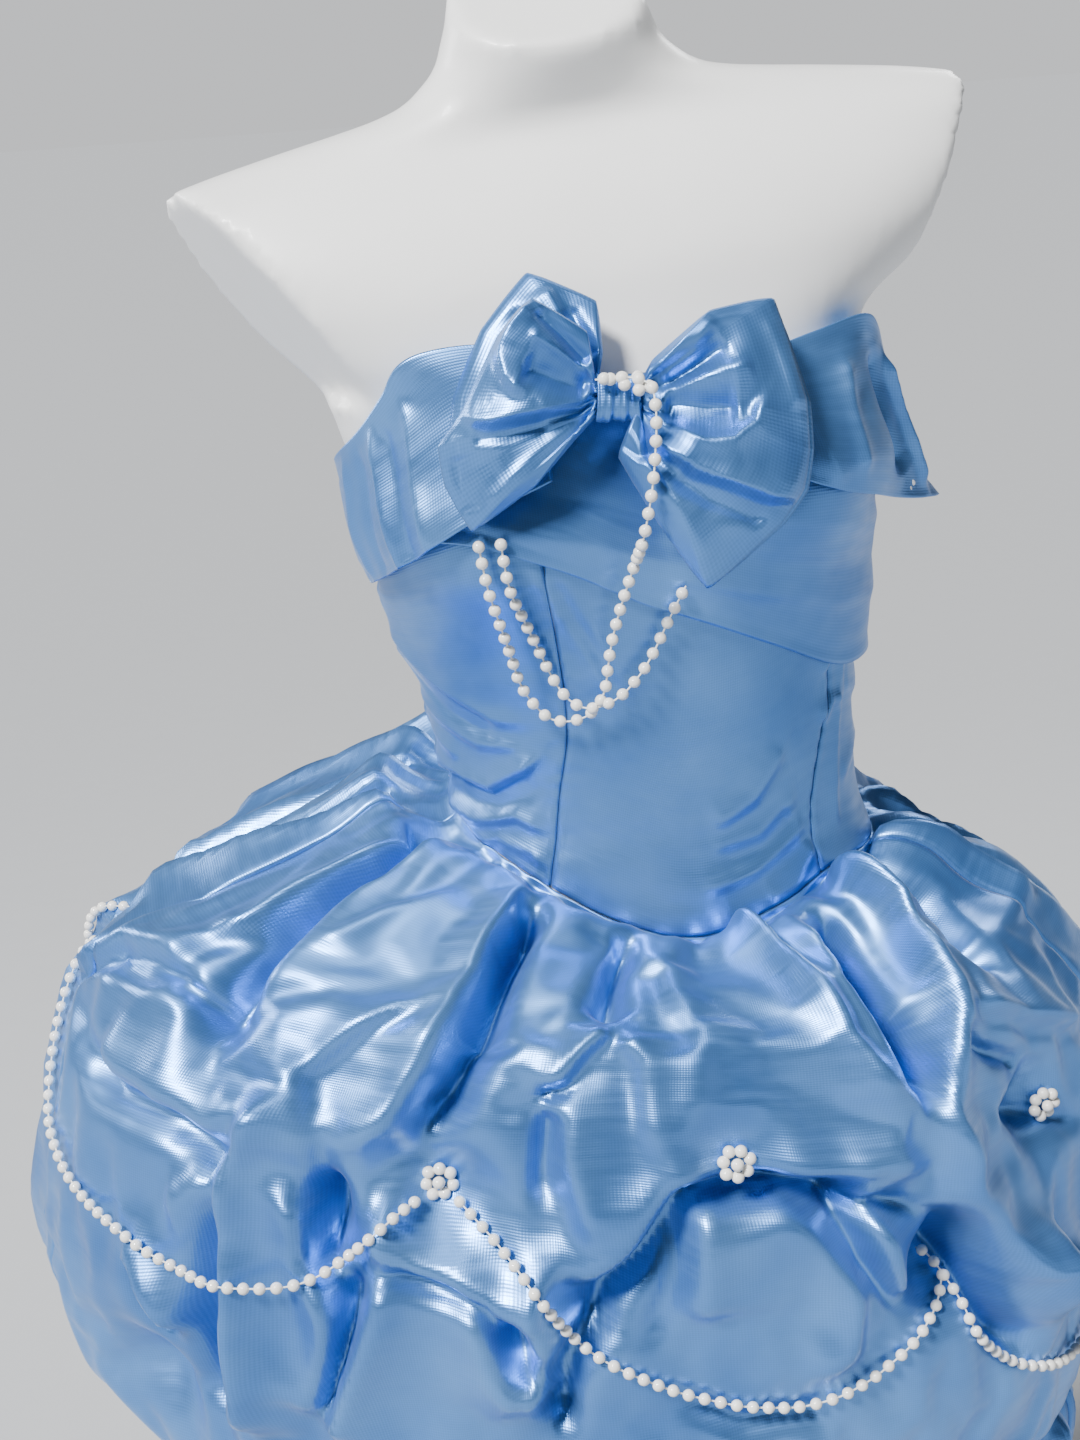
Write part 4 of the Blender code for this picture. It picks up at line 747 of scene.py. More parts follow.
def node(tree, kind, **settings):
    """Adds a node and sets its properties, and its inputs, which start with in_."""
    made = tree.nodes.new(kind)
    for key, value in settings.items():
        if key.startswith("in_"):
            set_inputs(made, **{key[3:]: value})
        else:
            setattr(made, key, value)
    return made


def clouds(tree, scale, detail, spots, colours, **more):
    """Noise in object space and a ramp of two colours over it; returns both nodes."""
    where = node(tree, "ShaderNodeTexCoord")
    cloud = node(tree, "ShaderNodeTexNoise", in_Scale=scale, in_Detail=detail, **more)
    tree.links.new(where.outputs["Object"], cloud.inputs["Vector"])
    ramp = node(tree, "ShaderNodeValToRGB")
    for stop, spot, colour in zip(ramp.color_ramp.elements, spots, colours):
        stop.position = spot
        stop.color = (*colour, 1)
    tree.links.new(cloud.outputs["Fac"], ramp.inputs["Fac"])
    return cloud, ramp


def satin_material(name, dark, light, roughness):
    """Pale blue satin organza: fine weave, uneven sheen, small crinkles that catch the light."""
    made, tree, shader = new_material(name)
    link = tree.links.new
    where = node(tree, "ShaderNodeTexCoord")
    ramp = clouds(tree, 9.0, 4.0, (0.32, 0.68), (dark, light), in_Roughness=0.55)[1]
    # the weave, in the cloth's own lengths: fine crossing threads
    threads = node(tree, "ShaderNodeMix", data_type="FLOAT", in_Factor=0.5)
    for way, side in (("X", "A"), ("Y", "B")):
        thread = node(tree, "ShaderNodeTexWave", wave_type="BANDS", bands_direction=way,
                      in_Scale=WEAVE_SCALE, in_Distortion=0.25, in_Detail=0.0)
        link(where.outputs["UV"], thread.inputs["Vector"])
        link(thread.outputs["Fac"], threads.inputs[side])
    tint = node(tree, "ShaderNodeMix", data_type="RGBA", blend_type="MULTIPLY", in_Factor=0.16)
    link(ramp.outputs["Color"], tint.inputs["A"])
    link(threads.outputs["Result"], tint.inputs["B"])
    link(tint.outputs["Result"], shader.inputs["Base Color"])
    # slubs: the sheen runs in streaks along the weft
    stretch = node(tree, "ShaderNodeMapping", in_Scale=(1.0, 9.0, 1.0))
    link(where.outputs["UV"], stretch.inputs["Vector"])
    streak = node(tree, "ShaderNodeTexNoise", in_Scale=2.2, in_Detail=3.0)
    link(stretch.outputs["Vector"], streak.inputs["Vector"])
    gloss = node(tree, "ShaderNodeMapRange", in_From_Min=0.3, in_From_Max=0.7,
                 in_To_Min=roughness - 0.05, in_To_Max=roughness + 0.08)
    link(streak.outputs["Fac"], gloss.inputs["Value"])
    link(gloss.outputs["Result"], shader.inputs["Roughness"])
    # small crinkles over the weave
    crinkle = node(tree, "ShaderNodeTexNoise", in_Scale=22.0, in_Detail=1.0, in_Roughness=0.4)
    link(where.outputs["Object"], crinkle.inputs["Vector"])
    first = node(tree, "ShaderNodeBump", in_Strength=0.20, in_Distance=0.005)
    link(crinkle.outputs["Fac"], first.inputs["Height"])
    second = node(tree, "ShaderNodeBump", in_Strength=0.22, in_Distance=0.0003)
    link(threads.outputs["Result"], second.inputs["Height"])
    link(first.outputs["Normal"], second.inputs["Normal"])
    link(second.outputs["Normal"], shader.inputs["Normal"])
    set_inputs(shader, Metallic=0.74, Anisotropic=0.45, Specular_IOR_Level=0.7, Sheen_Weight=0.12,
               Sheen_Roughness=0.35, Sheen_Tint=(0.72, 0.85, 1.0, 1.0))
    return made


def plain_material(name, colour, roughness, coat=0.0, grain=0.1, scale=60.0, spread=0.04):
    """A hard glossy surface with a faint unevenness."""
    made, tree, shader = new_material(name)
    link = tree.links.new
    shades = [c * (1 - spread) for c in colour], [min(1.0, c * (1 + spread)) for c in colour]
    cloud, ramp = clouds(tree, scale, 3.0, (0.0, 1.0), shades)
    link(ramp.outputs["Color"], shader.inputs["Base Color"])
    bump = node(tree, "ShaderNodeBump", in_Strength=grain, in_Distance=0.001)
    link(cloud.outputs["Fac"], bump.inputs["Height"])
    link(bump.outputs["Normal"], shader.inputs["Normal"])
    set_inputs(shader, Roughness=roughness, Coat_Weight=coat, Coat_Roughness=0.08)
    return made


SATIN = satin_material("satin_blue", (0.075, 0.235, 0.62), (0.15, 0.38, 0.83), 0.33)
# A darker copy of the same satin for the bodice: painted shade on the one cloth.
SATIN_BODICE_SHADED = satin_material("satin_blue_bodice_shaded", (0.075, 0.235, 0.60), (0.15, 0.37, 0.80), 0.34)
PIPING = plain_material("piping_white", (0.82, 0.88, 0.96), 0.3, coat=0.2, grain=0.2, scale=300.0)
SHELL = plain_material("form_white", (0.84, 0.84, 0.83), 0.42, coat=0.08, grain=0.05, scale=18.0)
STEEL = plain_material("stand_white", (0.80, 0.80, 0.79), 0.32, coat=0.3, grain=0.08, scale=120.0)
NACRE = plain_material("pearl", (0.86, 0.84, 0.79), 0.16, coat=0.7, grain=0.03, scale=500.0)
CORD = plain_material("pearl_thread", (0.80, 0.80, 0.78), 0.5, grain=0.1, scale=600.0)
CRYSTAL = plain_material("clear_bead", (0.86, 0.92, 0.98), 0.05, coat=1.0, grain=0.02, scale=300.0)


# ---------------------------------------------------------------- camera, light and floor


def make_camera():
    """The photograph's viewing angle: from a little to the left, looking down 17 degrees."""
    data = bpy.data.cameras.new("camera")
    data.sensor_width = 36.0
    data.lens = CAMERA["lens"]
    camera = linked("camera", data)
    axes = Matrix([CAMERA["right"], CAMERA["up"], CAMERA["back"]]).transposed().to_4x4()
    camera.matrix_world = Matrix.Translation(Vector(place(CAMERA["at"]))) @ axes
    bpy.context.scene.camera = camera


def make_lights():
    """Soft studio light: a wide key from the upper left, a fill, two rims and a pale surround."""
    for name, (at, size, power, colour) in LIGHTS.items():
        data = bpy.data.lights.new(name, "AREA")
        data.size = size
        data.energy = power
        data.color = colour
        lamp = linked(name, data)
        lamp.location = at
        aim = Vector(LIGHT_AIM) - Vector(at)
        lamp.rotation_euler = aim.to_track_quat("-Z", "Y").to_euler()
    data = bpy.data.lights.new("key", "SUN")
    data.energy = KEY_POWER
    data.angle = math.radians(KEY_SPREAD)
    linked("key", data).rotation_euler = Vector(KEY_WAY).to_track_quat("-Z", "Y").to_euler()
    world = bpy.data.worlds.new("studio")
    bpy.context.scene.world = world
    world.use_nodes = True
    tree = world.node_tree
    soft = tree.nodes["Background"]
    set_inputs(soft, Color=(*WORLD_COLOUR, 1), Strength=WORLD_STRENGTH)
    plain = node(tree, "ShaderNodeBackground", in_Color=(*BACKDROP_COLOUR, 1), in_Strength=BACKDROP_STRENGTH)
    seen = node(tree, "ShaderNodeLightPath")
    mix = node(tree, "ShaderNodeMixShader")
    tree.links.new(seen.outputs["Is Camera Ray"], mix.inputs[0])
    tree.links.new(soft.outputs[0], mix.inputs[1])
    tree.links.new(plain.outputs[0], mix.inputs[2])
    tree.links.new(mix.outputs[0], tree.nodes["World Output"].inputs["Surface"])


def make_floor():
    """A plain pale floor."""
    mesh = bmesh.new()
    bmesh.ops.create_grid(mesh, x_segments=4, y_segments=4, size=FLOOR_HALF)
    floor = built("floor", mesh)
    floor.data.materials.append(plain_material("floor_pale", FLOOR_COLOUR, 0.8, grain=0.05, scale=20.0,
                                               spread=0.02))


# ---------------------------------------------------------------- the form and its stand


def block_cut(side):
    """The block that the flat end of a shoulder is cut with."""
    cut = ARM_CUTS[side]
    slope = math.tan(math.radians(cut["slope"]))
    turn = math.tan(math.radians(cut["turn"]))
    mesh = bmesh.new()
    bmesh.ops.create_cube(mesh, size=2.0)
    for vert in mesh.verts:
        height = ARM_BLOCK["top"] if vert.co.z > 0 else ARM_BLOCK["bottom"]
        deep = vert.co.y * ARM_BLOCK["deep"]
        inner = cut["x"] + (height - ARM_BLOCK["bottom"]) * slope + (deep - cut["back"]) * turn
        across = ARM_BLOCK["reach"] if vert.co.x > 0 else inner
        vert.co = Vector(place(leaned(np.array([side * across, deep, height]))))
    if side < 0:
        bmesh.ops.reverse_faces(mesh, faces=mesh.faces)
    return built("cut", mesh)


def make_form():
    """Smooth white torso shell with flat ends at the neck and the shoulders."""
    heights = np.concatenate([np.arange(-30, 30, 0.8), np.arange(30, 50.01, 0.35)])
    angles = np.arange(0, 360, 2.0)
    points = body(angles[None, :], heights[:, None], FORM_SNUG)
    columns = len(angles)
    mesh = bmesh.new()
    made = [[mesh.verts.new(p) for p in ring] for ring in place(points)]
    for low, high in zip(made[:-1], made[1:]):
        for i in range(columns):
            j = (i + 1) % columns
            mesh.faces.new((low[i], low[j], high[j], high[i]))
    mesh.faces.new(made[0][::-1])
    mesh.faces.new(made[-1])
    turn = math.radians(NECK_CUT["slope"])
    middle = np.array([0.0, NECK_CUT["y"], NECK_CUT["height"]])
    here = leaned(middle)
    ahead = leaned(middle + [0.0, -math.sin(turn), math.cos(turn)])
    everything = list(mesh.verts) + list(mesh.edges) + list(mesh.faces)
    cut = bmesh.ops.bisect_plane(mesh, geom=everything, plane_co=Vector(place(here)),
                                 plane_no=Vector(ahead - here).normalized(), clear_outer=True)
    edges = [e for e in cut["geom_cut"] if isinstance(e, bmesh.types.BMEdge)]
    bmesh.ops.contextual_create(mesh, geom=edges)
    bmesh.ops.recalc_face_normals(mesh, faces=mesh.faces)
    form = built("form", mesh)
    blocks = [block_cut(-1), block_cut(1)]
    for block in blocks:
        cut = form.modifiers.new("arm", "BOOLEAN")
        cut.operation = "DIFFERENCE"
        cut.object = block
    remesh = form.modifiers.new("even", "REMESH")
    remesh.mode = "VOXEL"
    remesh.voxel_size = FORM_VOXEL * CM
    soft = form.modifiers.new("soft", "SMOOTH")
    soft.factor = 0.5
    soft.iterations = 3
    apply_all(form)
    for block in blocks:
        bpy.data.objects.remove(block)
    form.data.shade_smooth()
    form.data.materials.clear()
    form.data.materials.append(SHELL)
    return form


def lathe(name, profile, finish, steps=96):
    """A turned piece about the pole, from (radius, height) in metres, top to bottom."""
    angles = np.arange(steps) * 2 * math.pi / steps
    rings = np.array([[(r * math.cos(a), r * math.sin(a), h) for a in angles] for r, h in profile])
    faces = grid_faces(len(profile), steps, closed=True).tolist()
    last = (len(profile) - 1) * steps
    faces.append(list(range(steps)))
    faces.append(list(range(last, last + steps))[::-1])
    data = bpy.data.meshes.new(name)
    data.from_pydata(rings.reshape(-1, 3).tolist(), [], faces)
    mesh = bmesh.new()
    mesh.from_mesh(data)
    bmesh.ops.recalc_face_normals(mesh, faces=mesh.faces)
    mesh.to_mesh(data)
    mesh.free()
    data.shade_smooth()
    data.set_sharp_from_angle(angle=math.radians(40))
    data.materials.append(finish)
    return linked(name, data)


def rounded(profile, radius):
    """Rounds the inner corners of a turned profile."""
    points = [np.array(p, float) for p in profile]
    made = [points[0]]
    for before, here, after in zip(points[:-2], points[1:-1], points[2:]):
        reach = min(radius, 0.45 * np.linalg.norm(here - before), 0.45 * np.linalg.norm(after - here))
        start = here + unit(before - here) * reach
        end = here + unit(after - here) * reach
        for s in np.linspace(0, 1, 5):
            made.append((1 - s)**2 * start + 2 * s * (1 - s) * here + s * s * end)
    made.append(points[-1])
    return [tuple(p) for p in made]


def make_stand():
    """Pole with its collar and a locking ring, and the round base."""
    low, top = (corner[2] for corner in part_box("stand_pole"))
    base_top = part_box("stand_base")[1][2]
    edge = 0.170
    pole = lathe("pole", rounded([
        (0.0005, top), (0.034, top), (0.034, top - 0.022), (0.0125, top - 0.03), (0.0125, top - 0.20),
        (0.0165, top - 0.203), (0.0165, top - 0.228), (0.0125, top - 0.231), (0.0125, low + 0.028),
        (0.020, low + 0.022), (0.022, low + 0.0008), (0.0005, low + 0.0008)], 0.003), STEEL)
    base = lathe("base", rounded([
        (0.0005, base_top), (0.030, base_top), (0.130, 0.0135), (0.164, 0.0095), (edge, 0.006),
        (edge, 0.0006), (edge - 0.004, 0.0), (0.0005, 0.0)], 0.004), STEEL)
    return pole, base


# ---------------------------------------------------------------- the bodice


def panel_points(left_edge, right_edge, start, end, columns, rows):
    """Angles and heights of a panel between two seams, from its top edge to the waist."""
    around = np.linspace(0.0, 1.0, columns)[None, :]
    share = np.linspace(1.0, 0.0, rows)[:, None]

    def heights(angle):
        low = seam(angle) + 0.03
        return low + (smooth(NECKLINE, wrapped(angle), 1) - low) * share

    height = heights(start + (end - start) * around + 0 * share)
    for _ in range(3):
        angle = left_edge(height) + (right_edge(height) - left_edge(height)) * around
        height = heights(angle)
    blend = ease((0.06 - share) / 0.06)
    angle = angle * (1 - blend) + (start + (end - start) * around) * blend
    return angle, heights(angle), np.broadcast_to(around, angle.shape)


def edge_distance(points, column):
    """Distance in cm of each grid point from one side edge of its panel."""
    return np.linalg.norm(points - points[:, column:column + 1 or None], axis=-1)


def make_bodice():
    """Five panels with their seams, stitches, soft pulls and puckers."""
    def princess(column):
        return lambda height: smooth(PRINCESS, height, column)

    def fixed(angle):
        return lambda height: np.full(np.shape(height), float(angle))

    def loose_edge(height):
        return smooth(RIGHT_EDGE, height, 1)

    panels = (
        ("bodice_front", princess(1), princess(2), -36, 36, 91, 118),
        ("bodice_side_right", loose_edge, princess(1), -102, -36, 81, 118),
        ("bodice_side_left", princess(2), fixed(BACK_START), 36, BACK_START, 61, 118),
        ("bodice_back_left", fixed(BACK_START), fixed(180), BACK_START, 180, 61, 70),
        ("bodice_back_right", fixed(180), fixed(255), 180, 258, 61, 70))
    scale = BODICE_CREASE_SCALE
    lines = [(*[a * b for a, b in zip(line[:3], scale)], *line[3:]) for line in BODICE_CREASES]
    made = {}
    for name, near, far, start, end, columns, rows in panels:
        angle, height, around = panel_points(near, far, start, end, columns, rows)
        flat = body(angle, height, BODICE_OUT)
        across = wrapped(angle) * 0.2
        out = BODICE_OUT + np.maximum(creases(lines, across, height)[0], BODICE_DEEPEST)
        out = out + 0.030 * waves(across, height, 3, 9, 5.0, 2.0)
        out = out + 0.012 * waves(across, height, 4, 9, 1.8, 1.6)
        left = edge_distance(flat, 0)
        near_seam = np.minimum(left, edge_distance(flat, columns - 1))
        pucker = np.sin(height * 5.1 + 1.3 * np.sin(height * 1.7)) * bell(near_seam, 0.9)
        out = out + 0.025 * pucker - 0.07 * bell(near_seam, 0.13) + 0.02 * bell(near_seam - 0.35, 0.15)
        out = out - 0.05 * bell(height - seam(angle), 0.18)
        if name == "bodice_side_right":
            loose = smooth(RIGHT_EDGE, height, 2) * ease((0.45 - around) / 0.45)
            roll = 0.12 * bell(left - 0.22, 0.16)
            ripple = 0.22 * np.sin(height * 1.9 + 0.6) * bell(left, 2.2) * ease((18 - height) / 6)
            out = out + loose + roll + ripple
        grid = drawn_back(body(angle, height, out))
        # the bodice panels take the darker copy of the satin, which is painted shade
        made[name] = finished(grid_object(name + "_cloth", grid), SATIN_BODICE_SHADED)
        if name == "bodice_side_right":
            made["edge"] = tube("bodice_edge_piping", grid[::2, 0], 0.07, PIPING)
    return made


def tube(name, points, radius, finish):
    """A round tube along points in dress coordinates."""
    data = bpy.data.curves.new(name, "CURVE")
    data.dimensions = "3D"
    data.bevel_depth = radius * CM
    data.bevel_resolution = 2
    data.use_fill_caps = True
    line = data.splines.new("POLY")
    line.points.add(len(points) - 1)
    for spot, point in zip(line.points, place(points)):
        spot.co = (*point, 1.0)
    data.materials.append(finish)
    return linked(name, data)


def make_drape():
    """The cross band: soft slanting pleats and a turned-under lower edge."""
    angle = np.linspace(-60, BACK_START, 157)[None, :]
    share = np.linspace(1, 0, 70)[:, None]
    low = smooth(DRAPE, angle, 1)
    high = smooth(NECKLINE, angle, 1) - 0.8
    height = low + (high - low) * share
    edge = smooth(DRAPE, angle, 2)
    out = DRAPE_OUT + (edge - DRAPE_OUT) * (1 - share)
    out = out - (DRAPE_OUT - DRAPE_TOP_OUT) * ease((share - 0.8) / 0.2)
    across = (angle + 0 * share) * 0.2
    rise = height - low
    out = out + crease_field(DRAPE_CREASES, across, height)
    out = out + 0.035 * waves(across, height, 11, 9, 5.5, 2.4)
    out = out + 0.012 * waves(across, height, 12, 9, 2.2, 2.0)
    out = out + 0.05 * bell(rise, 0.35) - 0.03 * bell(rise - 0.75, 0.2)
    out = np.maximum(out, DRAPE_LEAST_OUT)
    return finished(grid_object("bust_drape_cloth", body(angle, height, out)), SATIN, THICK_WALL)


def make_collar(name, rows, start, end, columns, seed, folds):
    """A fold-over band, sewn on the top edge, over the fold and down to its free edge."""
    angle = np.linspace(start, end, columns)
    low, rise, free, middle, top = (smooth(rows, angle, i) for i in range(1, 6))
    neck = smooth(NECKLINE, wrapped(angle), 1)
    fold = neck + rise
    lines = [body(angle, neck + COLLAR_SEAM["rise"], COLLAR_SEAM["out"])]
    for turn in np.linspace(0.15, 1.0, 6):
        inner = COLLAR_SEAM["out"] * (1 - turn) + top * turn
        lines.append(body(angle, neck + rise * math.sin(turn * math.pi / 2), inner))
    for s in np.linspace(0.985, 0.0, 52):
        height = low + (fold - low) * s
        out = free * (1 - s) * (1 - 2 * s) + middle * 4 * s * (1 - s) + top * s * (2 * s - 1)
        across = wrapped(angle) * 0.22 if name != "collar_back" else angle * 0.22
        rippled = crease_field(folds, across, height)
        rippled = rippled + 0.05 * waves(across, height, seed, 9, 4.0, 0.8)
        rippled = rippled + 0.06 * bell(height - low, 0.3)
        lines.append(body(angle, height, out + rippled * ease((1 - s) / 0.25)))
    grid = drawn_back(np.stack(lines))
    levels = 1 if name == "collar_left" else 0
    return finished(grid_object(name + "_cloth", grid), SATIN, THICK_WALL, levels)


# ---------------------------------------------------------------- the bow


def bow_point(across, up, out):
    """A point in the bow's own axes."""
    return (BOW_CENTRE + across[..., None] * BOW_RIGHT + up[..., None] * BOW_UP
            + out[..., None] * BOW_OUT)


def make_wing(name, outline):
    """A leaf gathered at the knot, with straight edges, sharp corners and its own folds."""
    rows, columns = WING_GRID
    at = np.linspace(0, len(outline) - 1, columns)
    index = np.column_stack([np.arange(len(outline)), outline])
    soft = np.stack([smooth(index, at, i) for i in (1, 2, 3)], -1)
    straight = np.stack([np.interp(at, index[:, 0], outline[:, i]) for i in range(3)], -1)
    rim = 0.22 * soft + 0.78 * straight
    knot = 0.5 * (outline[0] + outline[-1])
    narrow = knot + (rim - knot) * np.array([0.0, WING_GATHER, 0.0])
    share = np.linspace(0, 1, rows)[:, None]**0.9
    points = narrow + (rim - narrow) * share[..., None]
    place_along = (at / at[-1])[None, :]
    across, up = points[..., 0], points[..., 1]
    swell = BOW_LOFT[name] * np.sin(math.pi * place_along) * np.sin(math.pi * share**1.2)
    rise, shift = creases(BOW_FOLDS[name], across, up)
    fade = ease(share / 0.12)
    swell = swell + rise * fade
    gather = np.sin(place_along * math.pi * 13 + 1.1 * np.sin(place_along * 13))
    gather = 0.15 * gather * np.exp(-share / 0.25)
    swell = swell + gather * ease(share / 0.05)
    swell = swell + 0.05 * waves(across, up, 21 + len(name), 9, 3.2) * ease(share / 0.3)
    roll = ease((share - 0.95) / 0.05)
    out = points[..., 2] + swell - 0.12 * roll
    shift = shift * fade[..., None] * ease((1 - share) / 0.15)[..., None]
    grid = bow_point(across + shift[..., 0], up + shift[..., 1], out)
    return finished(grid_object(name + "_cloth", grid), SATIN, WING_WALL)


def make_knot():
    """The band round the middle, with lengthwise pleats."""
    rows, columns = 60, 41
    around = np.linspace(0, 2 * math.pi, rows, endpoint=False)[:, None]
    side = np.linspace(-1, 1, columns)[None, :]
    pleat = 0.05 * np.sin(side * 9.0 + 0.8 * np.sin(around * 2)) + 0.03 * np.sin(side * 17 + around)
    pinch = 1 - 0.10 * (1 - side**2)
    cos, sin = np.cos(around), np.sin(around)
    up = (KNOT_SIZE[2] / 2 * pinch + pleat) * np.sign(cos) * np.abs(cos)**0.7
    out = (KNOT_SIZE[1] / 2 * pinch + pleat) * np.sign(sin) * np.abs(sin)**0.7
    across = KNOT_SIZE[0] / 2 * side * (1 + 0.05 * np.cos(around * 2)) + 0 * around
    grid = bow_point(across, up + 0 * side, out + 0.05 + 0 * side)
    grid = np.concatenate([grid, grid[:1]])
    obj = grid_object("bow_knot_cloth", grid)
    mesh = bmesh.new()
    mesh.from_mesh(obj.data)
    bmesh.ops.remove_doubles(mesh, verts=mesh.verts, dist=1e-6)
    mesh.to_mesh(obj.data)
    mesh.free()
    return finished(obj, SATIN, THICK_WALL)


# ---------------------------------------------------------------- the skirt


def skirt_steps(angle, along):
    """How the skirt without its folds runs in 2 degrees round and in 0.02 down."""
    around = skirt_plain(angle + 1, along) - skirt_plain(angle - 1, along)
    down = skirt_plain(angle, along + 0.01) - skirt_plain(angle, along - 0.01)
    return around, down


def skirt_normals(angle, along):
    """Outward normals of the skirt without its folds, and cm round per degree."""
    around, down = skirt_steps(angle, along)
    return unit(np.cross(down, around), 1e-12), np.linalg.norm(around, axis=-1) / 2


def hidden_creases():
    """Creases like those that show, for the sides, the back and below the picture's edge."""
    rng = np.random.default_rng(7)
    chance = rng.uniform
    lines = []
    ups = [row for row in PICK_UPS if 60 < row[0] % 360 < 262]
    ups.sort(key=lambda row: row[0] % 360)
    for angle, along, _, _ in ups:
        angle = angle % 360
        for side in (-9, 8):
            top = angle + side * chance(0.5, 1.6)
            lines.append((chance(1.1, 1.8), -chance(1.2, 2.1), (
                (top, 0.05), (angle + side * chance(0.5, 0.9), along * 0.55),
                (angle + side * 0.25, along - 0.03))))
        for side in (-16, -4, 5, 15):
            lines.append((chance(0.7, 1.1), chance(0.7, 1.4), (
                (angle + side * chance(0.9, 1.4), 0.05),
                (angle + side * chance(0.6, 1.0), along * 0.6), (angle + side * 0.3, along - 0.02))))
        for side in (-10, -3, 4, 11):
            lines.append((chance(0.7, 1.3), chance(-1.6, 1.1), (
                (angle + side * 0.3, along + 0.03), (angle + side * chance(0.7, 1.1), along + 0.12),
                (angle + side * chance(0.9, 1.6), along + chance(0.18, 0.3)))))
    for before, after in zip(ups[:-1], ups[1:]):
        a0, a1 = before[0] % 360, after[0] % 360
        low = max(before[1], after[1]) + chance(0.05, 0.08)
        # a ridge, and the valley under it: width, rise, and how far it lies below at its five points
        for width, rise, drops in ((1.0, 1.3, (0, -0.01, 0, -0.015, 0)),
                                   (1.2, -1.7, (0.025, 0.025, 0.035, 0.02, 0.025))):
            places = ((a0 + 3, before[1]), (a0 * 0.7 + a1 * 0.3, low), ((a0 + a1) / 2, low),
                      (a0 * 0.3 + a1 * 0.7, low), (a1 - 3, after[1]))
            lines.append((width, rise, tuple((a, t + drop) for (a, t), drop in zip(places, drops))))
    for start in np.arange(-86, 274, 9.0):
        angle = start + chance(-3, 3)
        lines.append((chance(0.8, 1.3), chance(0.5, 1.1), (
            (angle, 0.99), (angle + chance(-3, 3), 0.86), (angle + chance(-6, 6), chance(0.66, 0.78)))))
        angle += chance(3, 6)
        lines.append((chance(0.9, 1.4), -chance(0.6, 1.3), (
            (angle, 0.99), (angle + chance(-3, 3), 0.84), (angle + chance(-6, 6), chance(0.62, 0.74)))))
    return lines


def skirt_lines():
    """Every crease of the skirt as (steep, long, rise, lean, points), steep towards its valley."""
    lines = CREASES + tuple(hidden_creases())
    hollows = np.array([p for _, r, points in lines if r < 0 for p in points])
    made = []
    for number, (width, rise, points) in enumerate(lines):
        if rise < 0:
            made.append((width * 0.62, width * 0.62, rise * VALLEY_DEPTH, 0.0, points))
            continue
        half = len(points) // 2
        middle = points[half]
        before, after = points[max(0, half - 1)], points[min(len(points) - 1, half + 1)]
        gap = (hollows - middle) * np.array([0.5, SKIRT_LENGTH])
        nearest = gap[np.argmin(np.hypot(*gap.T))]
        way = ((after[0] - before[0]) * 0.5, (after[1] - before[1]) * SKIRT_LENGTH)
        if way[0] * nearest[1] - way[1] * nearest[0] > 0:
            points = points[::-1]
        low = LOW_FOLDS if middle[1] > LOW_FROM and number < len(CREASES) else 1.0
        tall = rise * RIDGE_HEIGHT * low
        lean = RIDGE_LEAN * min(1.0, 0.9 / rise)
        made.append((max(0.5, width * 0.6, tall * STEEPEST), width * 1.9, tall, lean, points))
    return made


def skirt_creases(angle, along, per_degree):
    """How far all creases move the skirt out, and how far round and down they lean."""
    rise = np.zeros(angle.shape)
    shift = np.zeros((*angle.shape, 2))
    for steep, gentle, height, lean, points in skirt_lines():
        middle = points[len(points) // 2]
        turn = wrapped(angle - middle[0])
        spans = np.array(points) - middle
        (low_a, low_t), (high_a, high_t) = spans.min(axis=0), spans.max(axis=0)
        reach = 4.5 * gentle
        near = ((turn > low_a - reach / 0.35) & (turn < high_a + reach / 0.35)
                & (along > middle[1] + low_t - reach / SKIRT_LENGTH)
                & (along < middle[1] + high_t + reach / SKIRT_LENGTH))
        scale = float(np.mean(per_degree[near]))
        local = [((a - middle[0]) * scale, t * SKIRT_LENGTH) for a, t in points]
        more, moved = creases([(steep, gentle, height, lean, local)], turn[near] * scale,
                              along[near] * SKIRT_LENGTH)
        rise[near] += more
        shift[near] += moved
    for *spot, reach, depth in PICK_UPS:
        rise -= depth * 1.8 * bell(skirt_gap(angle, along, per_degree, spot), reach * 0.6)
    start = ease((along - 0.008) / 0.06)
    return rise * start, shift * start[..., None]


def skirt_surface(degrees, rows):
    """The skirt with all its creases, before it settles, and what else the settling needs."""
    angle, along = np.meshgrid(degrees, np.linspace(0, 1, rows))
    n, per_degree = skirt_normals(angle, along)
    rise, shift = skirt_creases(angle, along, per_degree)
    across = angle * 0.45
    down = along * SKIRT_LENGTH
    rise = rise + 0.12 * waves(across, down, 31, 12, 6.0, 0.8) * ease(along / 0.1)
    for level, tall, fill in TUCK_FILL:
        rise = rise + fill * bell(along - level, tall)
    gathers = np.sin(angle * 0.55 + 2 * np.sin(angle * 0.13)) * bell(along, 0.07)
    rise = rise + 0.2 * gathers * ease(along / 0.02)
    around, slope = (unit(step) for step in skirt_steps(angle, along))
    points = skirt_plain(angle, along) + n * rise[..., None]
    points = points + around * shift[..., :1] + slope * shift[..., 1:]
    return angle, along, per_degree, points


def evened(points):
    """A closed ring of cloth with the steps that the grid leaves on its sharpest folds taken out."""
    aside = (np.roll(points, 1, axis=1) + np.roll(points, -1, axis=1)) / 2
    points = points * 0.5 + aside * 0.5
    upright = (points[:-2] + points[2:]) / 2
    return np.concatenate([points[:1], points[1:-1] * 0.5 + upright * 0.5, points[-1:]])


def garland_nearness(angle, along, per_degree):
    """1 on the lines that the pearl garlands lie on, falling to 0 beside them."""
    best = np.full(angle.shape, FAR)
    for spot in np.concatenate(GARLANDS):
        best = np.minimum(best, skirt_gap(angle, along, per_degree, spot))
    return bell(best, 1.6)


